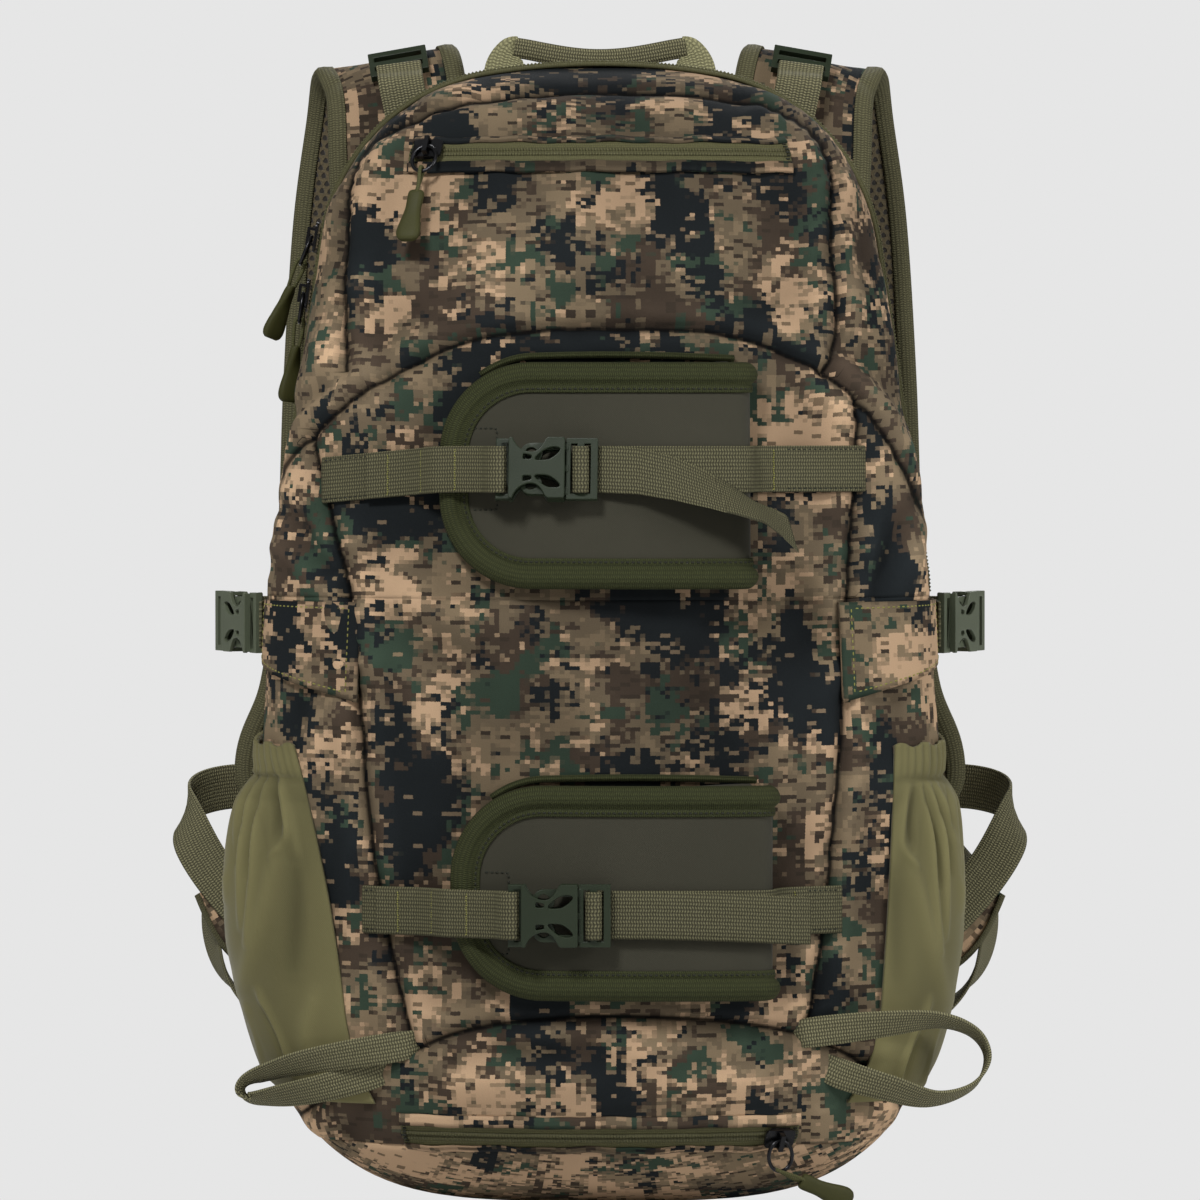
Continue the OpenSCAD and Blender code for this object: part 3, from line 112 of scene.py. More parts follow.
print("bag: widest", 2 * half_width(BELLY_Z), "deep", front_depth(BELLY_Z) + rear_depth(BELLY_Z), "mm")


# %% Places on the front and level sections
def front_tilt(z):
    return atan(front_depth(z + 0.5) - front_depth(z - 0.5))


def on_front(s, z, d):
    """A place on the bowed front: s along it from the middle, at a height, d out of the cloth."""
    f = s / FRONT_R
    axis = ZIP_Y - front_depth(z) + FRONT_R
    return ((FRONT_R + d) * sin(f), axis - (FRONT_R + d) * cos(f), z)


def half_section(a, d, face_r, corner_max, cols):
    """Half a level section of the bag, from the zip plane round to the zip plane."""
    side, corner, face = cols
    r = min(corner_max, 0.65 * d)
    y = face_r - d - sqrt((face_r - r) ** 2 - (a - r) ** 2)
    turn = asin((a - r) / (face_r - r))
    right = [(face_r * sin(turn * k / face), face_r - d - face_r * cos(turn * k / face)) for k in range(face)]
    for k in range(corner):
        f = turn + (pi / 2 - turn) * k / corner
        right.append((a - r + r * sin(f), y - r * cos(f)))
    right += [(a, y * (1 - k / side)) for k in range(side + 1)]
    return np.array([(-x, q) for x, q in right[:0:-1]] + right)


def front_section(z, cols):
    return half_section(half_width(z), front_depth(z), FRONT_R, 40, cols)


def rear_section(z, cols):
    return -half_section(half_width(z), rear_depth(z), REAR_R, 30, cols)


print("points round one level:", len(front_section(BELLY_Z, (10, 20, 84))))

# %% [markdown]
# All soft pieces are meshes that are worked out from points in millimetres. Blender's own way would be a primitive
# that is shaped by operators, which suits hard parts, but cloth has to follow curves and seams closely. Each piece
# gets a map named cloth, in metres along and across it, which the weaves and the print are drawn on, and each is
# tied to the body that carries it.


# %% A piece from points
def face_out(mesh):
    """Turn the faces of closed shells outwards. An open sheet stays as it is."""
    form = bmesh.new()
    form.from_mesh(mesh)
    if all(edge.is_manifold for edge in form.edges):
        bmesh.ops.recalc_face_normals(form, faces=form.faces)
        form.to_mesh(mesh)
    form.free()


def piece(name, points, faces, maps, finish, body="pack", slot=None, smooth=True, **values):
    """An object from points in mm. maps is given for each point or for each corner, and values for each point."""
    mesh = bpy.data.meshes.new(name)
    mesh.from_pydata((np.asarray(points, float) * 0.001).tolist(), [], faces)
    corners = np.empty(len(mesh.loops), np.int32)
    mesh.loops.foreach_get("vertex_index", corners)
    layer = mesh.uv_layers.new(name="cloth")
    maps = np.asarray(maps, float)
    flat = maps if len(maps) == len(corners) and len(maps) != len(points) else maps[corners]
    layer.data.foreach_set("uv", (flat * 0.001).astype(np.float32).ravel())
    # fold paints shade or highlight of folds into the colour; 0.5 leaves the colour as it is.
    for key, data in {"fold": np.full(len(points), 0.5), **values}.items():
        mesh.attributes.new(key, "FLOAT", "POINT").data.foreach_set("value", np.asarray(data, np.float32).ravel())
    mesh.polygons.foreach_set("use_smooth", [smooth] * len(mesh.polygons))
    face_out(mesh)
    thing = bpy.data.objects.new(name, mesh)
    bpy.context.scene.collection.objects.link(thing)
    for one in finish if isinstance(finish, (list, tuple)) else [finish]:
        mesh.materials.append(one)
    if body:
        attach(thing, body)
    return thing


print("pieces are made from points in mm, with a map in m")


# %% Grids and rings of points
def lengths(points, axis):
    step = np.linalg.norm(np.diff(points, axis=axis), axis=-1)
    start = np.zeros_like(np.take(step, [0], axis=axis))
    return np.concatenate([start, np.cumsum(step, axis=axis)], axis=axis)


def unit(rows):
    return rows / np.linalg.norm(rows, axis=1, keepdims=True)


def grid_faces(rows, cols):
    a = np.arange(rows * cols).reshape(rows, cols)
    return np.stack([a[:-1, :-1], a[:-1, 1:], a[1:, 1:], a[1:, :-1]], -1).reshape(-1, 4).tolist()


def outward(grid):
    n = np.cross(np.gradient(grid, axis=1), np.gradient(grid, axis=0))
    return n / np.maximum(np.linalg.norm(n, axis=-1, keepdims=True), 1e-9)


def ring_faces(rings, m):
    faces = []
    for i in range(rings - 1):
        for j in range(m):
            k = (j + 1) % m
            faces.append((i * m + j, i * m + k, (i + 1) * m + k, (i + 1) * m + j))
    return faces + [tuple(range(m - 1, -1, -1)), tuple((rings - 1) * m + j for j in range(m))]


def shell_faces(rows, m):
    """Faces of a closed shell. Each row runs along its outer face and back along its inner face."""
    faces, last = ring_faces(rows, m)[:-2], (rows - 1) * m
    for j in range(m // 2 - 1):
        faces.append((m - 1 - j, m - 2 - j, j + 1, j))
        faces.append((last + j, last + j + 1, last + m - 2 - j, last + m - 1 - j))
    return faces


def loft(name, rings, across, finish, body="pack", slot=None, **more):
    """A closed piece through rings of points. across says where each ring point lies over the width."""
    rings = np.asarray(rings, float)
    n, m = rings.shape[:2]
    along = np.repeat(lengths(rings.mean(1), 0), m)
    across = np.asarray(across, float)
    across = np.tile(across, n) if across.ndim == 1 else across.ravel()
    maps = np.stack([along, across], -1)
    return piece(name, rings.reshape(-1, 3), ring_faces(n, m), maps, finish, body, slot, **more)


print("a closed tube of 4 rings of 8 points has", len(ring_faces(4, 8)), "faces")

# %% [markdown]
# Materials are worked out with nodes. They could be joined one by one in the shader editor, but a weave needs dozens
# of them. So a Tone stands for one value in the tree, and adding or scaling tones in Python adds the Math nodes. A
# Finish holds one Principled surface and the few other nodes that cloth needs.


# %% Tones
def rgb(r, g, b):
    lin = [c / 255 / 12.92 if c <= 10 else ((c / 255 + 0.055) / 1.055) ** 2.4 for c in (r, g, b)]
    return (*lin, 1.0)


class Tone:
    """A value or colour in a material, made from nodes."""

    def __init__(self, finish, socket):
        self.finish, self.socket = finish, socket

    def math(self, kind, other=0.0, swap=False):
        a, b = (other, self) if swap else (self, other)
        return self.finish.add("Math", {0: a, 1: b}, operation=kind)

    __add__ = __radd__ = lambda self, o: self.math("ADD", o)
    __mul__ = __rmul__ = lambda self, o: self.math("MULTIPLY", o)
    __sub__ = lambda self, o: self.math("SUBTRACT", o)
    __rsub__ = lambda self, o: self.math("SUBTRACT", o, True)
    __truediv__ = lambda self, o: self.math("DIVIDE", o)
    __rtruediv__ = lambda self, o: self.math("DIVIDE", o, True)
    __pow__ = lambda self, o: self.math("POWER", o)
    __neg__ = lambda self: self.math("MULTIPLY", -1.0)

    def over(self, edge, soft=0.0):
        if not soft:
            return self.math("GREATER_THAN", edge)
        return self.finish.add("MapRange", {0: self, 1: edge - soft, 2: edge + soft}, clamp=True)

    def wave(self, pitch):
        return self.math("MULTIPLY", 2 * pi / pitch).math("SINE")


print("olive webbing in linear light:", [round(c, 3) for c in rgb(108, 105, 78)[:3]])


# %% Finishes
class Finish:
    """A material with one Principled surface."""

    def __init__(self, name, **surface):
        self.mat = bpy.data.materials.new(name)
        self.mat.use_nodes = True
        self.tree = self.mat.node_tree
        self.surface = self.tree.nodes["Principled BSDF"]
        self.set(**surface)

    def put(self, value, socket):
        if isinstance(value, Tone):
            self.tree.links.new(value.socket, socket)
        else:
            socket.default_value = value

    def add(self, kind, inputs=None, out=0, **settings):
        node = self.tree.nodes.new("ShaderNode" + kind)
        for key, value in settings.items():
            setattr(node, key, value)
        for key, value in (inputs or {}).items():
            self.put(value, node.inputs[key])
        return Tone(self, node.outputs[out])

    def set(self, **sockets):
        for key, value in sockets.items():
            self.put(value, self.surface.inputs[key.replace("_", " ")])

    def vector(self, kind, a, b=(0, 0, 0)):
        return self.add("VectorMath", {0: a, 1: b}, operation=kind)

    def mix(self, share, a, b, blend="MIX"):
        return self.add("Mix", {0: share, 6: a, 7: b}, 2, data_type="RGBA", blend_type=blend)

    def shaded(self, colour, light):
        grey = self.add("CombineColor", {0: light, 1: light, 2: light})
        return self.mix(1.0, colour, grey, "MULTIPLY")

    def cloth_map(self):
        return self.add("UVMap", uv_map="cloth")

    def split(self, vector):
        node = self.tree.nodes.new("ShaderNodeSeparateXYZ")
        self.put(vector, node.inputs[0])
        return [Tone(self, o) for o in node.outputs]

    def speckle(self, vector, scale, detail=2.0, rough=0.5, shift=0.0):
        if shift:
            vector = self.vector("ADD", vector, (shift, shift * 0.7, shift * 1.3))
        return self.add("TexNoise", {"Vector": vector, "Scale": scale, "Detail": detail, "Roughness": rough})

    def attribute(self, name):
        return self.add("Attribute", attribute_name=name, out=2)

    def object_place(self):
        return self.add("TexCoord", out=3)

    def bump(self, height, distance, strength=1.0):
        self.set(Normal=self.add("Bump", {"Strength": strength, "Distance": distance, "Height": height}))


print("a finish starts from one Principled surface")

# %% [markdown]
# The cloth is printed with pixel camouflage: dark, brown, green and tan blotches whose edges break up into small
# oblong cells. A painted picture would do, but it would tie the part to one image. Here noise is snapped to a grid of
# cells and cut at a level to give each blotch, and the blotches are laid one over the other. Short flecks of a second
# grid break up the flat places, as the printed cloth does.

# %% Camouflage print
CELL, FLECK = (0.0021, 0.0017, 1.0), (0.0042, 0.0017, 1.0)  # metres: one printed cell, and a fleck of two


def pixel_print(f, uv, ends):
    """The printed colour. Towards the ends of the bag there is more tan and less of the darkest tone."""
    bleed = f.add("TexNoise", {"Vector": uv, "Scale": 1900.0, "Detail": 1.0}, 1)
    drift = f.vector("MULTIPLY", f.vector("SUBTRACT", bleed, (0.5, 0.5, 0.5)), (0.0008, 0.0006, 0.0))
    soft = f.vector("ADD", uv, drift)
    cell, dash = f.vector("SNAP", soft, CELL), f.vector("SNAP", soft, FLECK)
    grain = f.add("TexWhiteNoise", {"Vector": f.vector("MULTIPLY", cell, (431.0, 377.0, 1.0))})
    flecks = f.add("TexWhiteNoise", {"Vector": f.vector("MULTIPLY", dash, (517.0, 289.0, 1.0))})

    def blotch(size, seed, ragged, wide=1.0, tall=1.0):
        big = f.speckle(f.vector("MULTIPLY", cell, (wide, tall, 1.0)), 1000 / size, 2.0, 0.5, seed)
        small = f.speckle(dash, 1000 / 6.5, 1.0, 0.5, seed + 3.1)
        return big + (small - 0.5) * ragged + (grain - 0.5) * (ragged * 0.2)

    warm = blotch(34, 1.3, 0.55) + ends * 0.045
    earth = blotch(30, 4.1, 0.4)
    leaf = blotch(24, 7.7, 0.35)
    night = blotch(36, 11.9, 0.42, 1.25, 0.8) - ends * 0.075
    colour = f.mix(earth.over(0.45, 0.01), rgb(62, 52, 43), rgb(97, 85, 68))
    colour = f.mix(earth.over(0.57, 0.01), colour, rgb(116, 101, 80))
    colour = f.mix(flecks.over(0.9), colour, rgb(54, 46, 38))
    colour = f.mix(leaf.over(0.575, 0.01), colour, rgb(47, 60, 49))
    colour = f.mix(warm.over(0.56, 0.01), colour, f.mix(flecks.over(0.88), rgb(133, 113, 90), rgb(88, 74, 59)))
    colour = f.mix(warm.over(0.6, 0.01), colour, f.mix(flecks.over(0.93), rgb(168, 141, 113), rgb(106, 89, 70)))
    return f.mix(night.over(0.56, 0.01), colour, f.mix(flecks.over(0.975), rgb(25, 29, 31), rgb(108, 93, 75)))


print("one printed cell is", CELL[0] * 1000, "by", CELL[1] * 1000, "mm")

# %% [markdown]
# Where panels meet, the cloth turns into the seam, which lies in shade: a dark line with a soft shade beside it. The
# line could be a gap in the mesh, but the front is one sheet. So each point carries how far it lies from the nearest
# seams, and the material paints that shade over the print there. The same is done for folds: a point that is pressed
# in gets painted shade, and a raised one a painted highlight.

# %% Camouflage cloth
SEAM_REACH = 6.0  # mm beside a seam that its measure covers


# Painted shade of the seams: a dark line on each seam with a softer shade beside it, or the piece's own seam shade.
def seam_shade(f):
    line = 0.0
    for seam in ("seam_over", "seam_arch", "seam_side"):
        away = (f.attribute(seam) - 1.0).math("ABSOLUTE") * SEAM_REACH
        line = (1.0 - away.over(0.95, 0.55) * 0.66 - away.over(3.0, 2.4) * 0.34).math("MAXIMUM", line)
    return (line * f.attribute("seam_near").over(0.35, 0.3)).math("MAXIMUM", f.attribute("seam"))


def camouflage(name):
    f = Finish(name, Roughness=0.92, Specular_IOR_Level=0.12)
    uv = f.cloth_map()
    aside, _, height = f.split(f.object_place())
    low = ((0.2 - height) / 0.18).math("MAXIMUM", 0.0)
    ends = low * low + (aside / 0.13) ** 2.0 * 0.9 - 0.35
    colour = pixel_print(f, uv, ends)
    worn = f.speckle(f.object_place(), 9.0, 3.0, 0.6)
    thread = f.speckle(f.vector("MULTIPLY", uv, (1.0, 1.6, 1.0)), 2600.0, 1.0)
    light = 0.88 + (worn - 0.5) * 0.3 + (thread - 0.5) * 0.5
    # Painted shade on seams and pressed-in folds, painted highlight on raised folds; lighter at the base and sides.
    light = light * (1.0 - seam_shade(f) * 0.93) * (0.45 + f.attribute("fold") * 1.1) * (1.0 + ends * 0.4)
    f.set(Base_Color=f.shaded(colour, light))
    f.bump(thread + f.speckle(uv, 700.0, 2.0) * 0.8, 0.0004, 0.5)
    return f.mat


camo = camouflage("camo_cloth")
print("camouflage nodes:", len(camo.node_tree.nodes))

# %% [markdown]
# Webbing, binding and zip tape are woven in ribs. The ribs could be modelled, but they are about a millimetre wide
# and there are thousands. Two waves on the cloth map, one across and one along, give the height of each thread. That
# height paints shade into the hollows and drives a bump.


# %% Webbing and tapes
def ribbed(name, colour, across=1.5, along=1.15, depth=0.25, rough=0.75, painted_shade=0.45):
    """A ribbed weave. across and along are the widths of its threads and depth is its relief, in mm."""
    f = Finish(name, Roughness=rough, Specular_IOR_Level=0.2)
    u, v, _ = f.split(f.cloth_map())
    rib = (v.wave(across * 0.001) * 0.5 + 0.5) ** 0.6
    pick = ((u + (v.wave(across * 0.002)) * 0.00018).wave(along * 0.001) * 0.5 + 0.5) ** 0.6
    height = rib * pick * 0.8 + pick * 0.2
    tint = f.speckle(f.cloth_map(), 900.0, 2.0) * 0.5 + 0.75
    # Painted shade in the hollows between the threads.
    f.set(Base_Color=f.shaded(colour, (1.0 - painted_shade + height * painted_shade) * tint))
    f.bump(height, depth * 0.001, 0.8)
    return f.mat


webbing = ribbed("webbing", rgb(108, 105, 78), 1.55, 1.15, 0.45, 0.75, 0.85)
harness_web = ribbed("harness_webbing", rgb(136, 132, 100), 1.55, 1.15, 0.45, 0.75, 0.85)
handle_web = ribbed("handle_webbing", rgb(158, 155, 116), 1.6, 1.2, 0.4, 0.75, 0.6)
binding = ribbed("binding_tape", rgb(59, 63, 34), 1.9, 0.9, 0.4, 0.8, 0.6)
edge_tape = ribbed("edge_tape", rgb(100, 97, 70), 1.6, 1.1, 0.4, 0.8, 0.6)
zip_tape = ribbed("zip_tape", rgb(91, 89, 59), 1.2, 0.8, 0.15)
coil = ribbed("zip_coil", rgb(86, 84, 56), 2.4, 1.3, 0.4, 0.6, 0.5)
cord_olive = ribbed("pull_cord", rgb(82, 82, 50), 0.8, 0.9, 0.2)
print("woven finishes:", len(bpy.data.materials) - 1)

# %% [markdown]
# The pockets are knitted stretch cloth, the flaps are rubber sheet faced with fine knit, and the lining is thin.
# They look smooth from afar and soft close by. A small crossed wave makes the loops of the knit and a cloud of noise
# the uneven dye, and the fold measure paints shade in creases and highlight on ridges. The pads are faced with a net of
# round holes, which three waves at 60 degrees give, with painted shade in the holes.


# %% Knits and net
def knit(name, colour, other, pitch=0.9, depth=0.12, patchy=12.0, rough=0.8, sheen=0.1):
    """A knit between two colours. pitch is the width of a loop and depth is its relief, in mm."""
    f = Finish(name, Roughness=rough, Sheen_Weight=sheen, Sheen_Roughness=0.4, Specular_IOR_Level=0.15)
    u, v, _ = f.split(f.cloth_map())
    loop = (u.wave(pitch * 0.001) * v.wave(pitch * 0.0013)) * 0.5 + 0.5
    cloud = f.speckle(f.object_place(), patchy, 3.0, 0.6)
    fuzz = f.speckle(f.cloth_map(), 1500.0, 2.0)
    cloth = f.mix(cloud * 0.7 + fuzz * 0.35 + loop * 0.12 - 0.2, colour, other)
    # Painted shade in creases and painted highlight on ridges, from the fold measure.
    f.set(Base_Color=f.shaded(cloth, 0.5 + f.attribute("fold")))
    f.bump(loop * 0.6 + fuzz * 0.6, depth * 0.001, 0.7)
    return f.mat


def net(name, colour, hole, pitch=3.2):
    f = Finish(name, Roughness=0.85, Sheen_Weight=0.1)
    u, v, _ = f.split(f.cloth_map())
    a = (u + v * 0.577).wave(pitch * 0.001)
    b = (u - v * 0.577).wave(pitch * 0.001)
    c = (v * 1.155).wave(pitch * 0.001)
    gap = (a + b + c).over(0.55, 0.45)
    fuzz = f.speckle(f.cloth_map(), 1200.0, 2.0)
    # Painted shade in the net's holes: they take the dark hole colour.
    f.set(Base_Color=f.mix(gap, f.mix(fuzz, colour, hole), hole))
    f.bump(1.0 - gap, 0.0006, 0.9)
    return f.mat


stretch = knit("stretch_cloth", rgb(93, 89, 59), rgb(114, 109, 74))
neoprene = knit("neoprene", rgb(50, 49, 40), rgb(62, 60, 50), 0.7, 0.08, 20.0, 0.9, 0.12)
lining = knit("lining", rgb(52, 54, 46), rgb(66, 67, 57), 0.6, 0.1, 14.0)
spacer = net("spacer_mesh", rgb(106, 93, 63), rgb(28, 23, 16), 3.8)
print("net pitch 3.8 mm, finishes so far:", len(bpy.data.materials))

# %% [markdown]
# Buckles are moulded plastic, the pulls are soft rubber, sliders and rings are blackened metal, and seams are sewn
# with dull thread. One plain colour would look like a toy. A fine grain, with clouds of wear in colour and roughness,
# breaks the shine, as handling does.


# %% Plastic, rubber, metal and thread
def moulded(name, colour, rough=0.42, grain=1800.0, wear=0.2, shine=0.5):
    f = Finish(name, Specular_IOR_Level=shine)
    place = f.object_place()
    fine = f.speckle(place, grain, 2.0)
    cloud = f.speckle(place, 60.0, 3.0, 0.6)
    light = 0.85 + (cloud - 0.5) * wear + (fine - 0.5) * 0.2
    f.set(Base_Color=f.shaded(colour, light), Roughness=rough + (cloud - 0.5) * 0.25)
    f.bump(fine, 0.00012, 0.35)
    return f.mat


plastic = moulded("buckle_plastic", rgb(38, 47, 32), 0.42, shine=0.25)
# A lighter copy of the buckle plastic for the side buckles: a painted highlight.
side_plastic_painted_light = moulded("side_buckle_painted_light", rgb(90, 97, 79), 0.42, shine=0.3)
sheet_plastic = moulded("sheet_plastic", rgb(40, 40, 38), 0.55)
rubber = moulded("rubber_pull", rgb(60, 60, 29), 0.62, 900.0, 0.3, 0.2)
metal = moulded("black_metal", rgb(44, 44, 46), 0.28, 700.0, 0.3)
metal.node_tree.nodes["Principled BSDF"].inputs["Metallic"].default_value = 0.85
thread_light = moulded("thread_light", rgb(140, 138, 66), 0.8)
thread_dark = moulded("thread_dark", rgb(30, 33, 18), 0.85)
print("finishes:", len(bpy.data.materials))

# %% [markdown]
# The photograph is taken with a long lens, nearly level and square to the front, on a seamless pale ground. A camera
# three metres off with a narrow view gives the same flat perspective.

# %% Camera
camera = bpy.data.objects.new("camera", bpy.data.cameras.new("camera"))
bpy.context.scene.collection.objects.link(camera)
bpy.context.scene.camera = camera
aim, away, raised = Vector((0, -0.02, 0.2555)), 3.0, radians(1.6)
camera.location = aim + away * Vector((0, -cos(raised), sin(raised)))
camera.rotation_euler = (pi / 2 - raised, 0, 0)
camera.data.lens = 36 * away / 0.516  # a view of 516 mm across at the bag
camera.data.clip_end = 50
print("camera lens", round(camera.data.lens), "mm")

# %% [markdown]
# The floor is plain and pale. More light would make it white, but it would wash out the cloth too. So the camera sees
# the floor and the world in the ground's own colour through the Light Path node, while they light the bag softly.

# %% Floor and world
PALE = rgb(230, 230, 230)
floor_mesh = bpy.data.meshes.new("floor")
floor_mesh.from_pydata([(-9, -9, 0), (9, -9, 0), (9, 9, 0), (-9, 9, 0)], [], [(0, 1, 2, 3)])
floor = bpy.data.objects.new("floor", floor_mesh)
bpy.context.scene.collection.objects.link(floor)
ground = Finish("floor", Base_Color=rgb(226, 226, 226), Roughness=0.9)
seen = ground.add("LightPath")
glow = ground.tree.nodes.new("ShaderNodeEmission")
glow.inputs[0].default_value = PALE
blend_in = ground.tree.nodes.new("ShaderNodeMixShader")
ground.put(seen, blend_in.inputs[0])
ground.tree.links.new(ground.surface.outputs[0], blend_in.inputs[1])
ground.tree.links.new(glow.outputs[0], blend_in.inputs[2])
ground.tree.links.new(blend_in.outputs[0], ground.tree.nodes["Material Output"].inputs[0])
floor_mesh.materials.append(ground.mat)

world = bpy.data.worlds.new("studio")
bpy.context.scene.world = world
world.use_nodes = True
nodes, links = world.node_tree.nodes, world.node_tree.links
sky = nodes["Background"]
backdrop = nodes.new("ShaderNodeBackground")
backdrop.inputs[0].default_value = PALE
sky.inputs[0].default_value = (1.0, 0.99, 0.97, 1)
sky.inputs[1].default_value = 0.19
path, pick = nodes.new("ShaderNodeLightPath"), nodes.new("ShaderNodeMixShader")
links.new(path.outputs["Is Camera Ray"], pick.inputs[0])
links.new(sky.outputs[0], pick.inputs[1])
links.new(backdrop.outputs[0], pick.inputs[2])
links.new(pick.outputs[0], nodes["World Output"].inputs[0])
print("floor", [round(q) for q in floor.dimensions], "m")


# %% Lights
def soft_light(name, place, size, power):
    lamp = bpy.data.lights.new(name, "AREA")
    lamp.shape, lamp.size, lamp.energy = "DISK", size, power
    holder = bpy.data.objects.new(name, lamp)
    bpy.context.scene.collection.objects.link(holder)
    holder.location = place
    holder.rotation_euler = (Vector((0, 0, 0.25)) - Vector(place)).to_track_quat("-Z", "Y").to_euler()


soft_light("key", (-0.75, -1.65, 2.05), 0.6, 50)
soft_light("fill", (1.9, -1.2, 1.1), 1.0, 26)
soft_light("back", (0.3, 1.8, 1.9), 1.2, 30)
bpy.context.scene.view_settings.view_transform = "Standard"
print("lights:", [lamp.name for lamp in bpy.data.lights])

# %% [markdown]
# The front is sewn from several panels: an arched top, a middle, two sides and a low one. The seams could be cut into
# the mesh as edges, but they cross the grid at every angle. So each seam is drawn once as it is seen from the front,
# as a smooth curve through a few points of the picture's frame, and the cloth then asks how far it lies from it.


# %% Seams of the front
def smooth_run(stations, steps):
    """Points on a smooth curve through the stations."""
    s = np.asarray(stations, float)
    s = np.vstack([s[0], s, s[-1]])
    out = []
    for a, b, c, d in zip(s[:-3], s[1:-2], s[2:-1], s[3:]):
        for t in np.arange(steps) / steps:
            out.append(0.5 * (2 * b + (c - a) * t + (2 * a - 5 * b + 4 * c - d) * t ** 2
                              + (3 * b - a - 3 * c + d) * t ** 3))
    return np.array(out + [s[-1]])


PIXEL, MIDDLE_PX, FLOOR_PX = 0.43, 600, 1195  # mm per pixel, and where the bag's middle and base are in the frame


def seen_at(*pixels):
    """Points of the photograph's frame as x and z on the bag."""
    return smooth_run([((px - MIDDLE_PX) * PIXEL, (FLOOR_PX - py) * PIXEL) for px, py in pixels], 6)


SEAM_TOP = seen_at((352, 374), (347, 290), (345, 220), (350, 185), (365, 150), (400, 126), (470, 105), (600, 92),
                   (740, 100), (790, 118), (818, 140), (831, 165), (833, 190), (830, 250), (835, 330), (818, 376))
SEAM_ARCH = seen_at((258, 575), (268, 530), (284, 487), (300, 453), (315, 437), (339, 417), (380, 388), (450, 350),
                    (520, 335), (600, 330), (720, 336), (800, 364), (850, 402), (880, 437), (900, 475), (922, 530),
                    (932, 575))
SEAM_LEFT = seen_at((315, 437), (334, 507), (347, 555), (354, 587), (360, 650), (366, 720), (380, 850), (400, 960),
                    (420, 1033))
SEAM_RIGHT = seen_at((852, 405), (853, 440), (850, 500), (845, 560), (838, 700), (830, 800), (818, 930), (800, 1018))
SEAM_LOW = seen_at((420, 1033), (460, 1016), (520, 1004), (600, 998), (700, 1002), (760, 1010), (800, 1019))
SEAM_LOW_L = seen_at((420, 1033), (370, 1058), (330, 1085), (300, 1110))
SEAM_LOW_R = seen_at((800, 1019), (850, 1045), (885, 1080), (905, 1105))
SEAM_FOOT = np.vstack([SEAM_LOW_L[::-1], SEAM_LOW[1:], SEAM_LOW_R[1:]])
SEAMS = [SEAM_TOP, SEAM_ARCH, SEAM_LEFT, SEAM_RIGHT, SEAM_FOOT]
print("seams of", [round(lengths(line, 0)[-1]) for line in SEAMS], "mm")


# %% Distances from a line
def distance(line, x, z):
    """How far each point is from a line, its share along it, and the side of the line it is on."""
    best = np.full(x.shape, 1e9)
    share, side = np.zeros(x.shape), np.ones(x.shape)
    for i in range(len(line) - 1):
        a, b = line[i], line[i + 1]
        w = b - a
        t = np.clip(((x - a[0]) * w[0] + (z - a[1]) * w[1]) / max(w @ w, 1e-9), 0, 1)
        d = np.hypot(x - a[0] - t * w[0], z - a[1] - t * w[1])
        near = d < best
        share = np.where(near, (i + t) / (len(line) - 1), share)
        side = np.where(near, np.sign(w[0] * (z - a[1]) - w[1] * (x - a[0])), side)
        best = np.minimum(best, d)
    return best, share, side


def inside(poly, x, z):
    hit = np.zeros(x.shape, bool)
    for a, b in zip(poly, np.roll(poly, -1, 0)):
        cross = (a[1] > z) != (b[1] > z)
        with np.errstate(divide="ignore", invalid="ignore"):
            hit ^= cross & (x < (b[0] - a[0]) * (z - a[1]) / (b[1] - a[1]) + a[0])
    return hit


print("points on the arch seam:", len(SEAM_ARCH))

# %% [markdown]
# A stuffed bag pulls its cloth into folds that start at the seams and straps. A cloth simulation could find them, but
# it would find others than those in the photograph. So each fold is a stroke drawn where it is seen, which raises or
# presses the cloth. Where flaps, straps, zips and loops lie on the cloth, it is held flat.

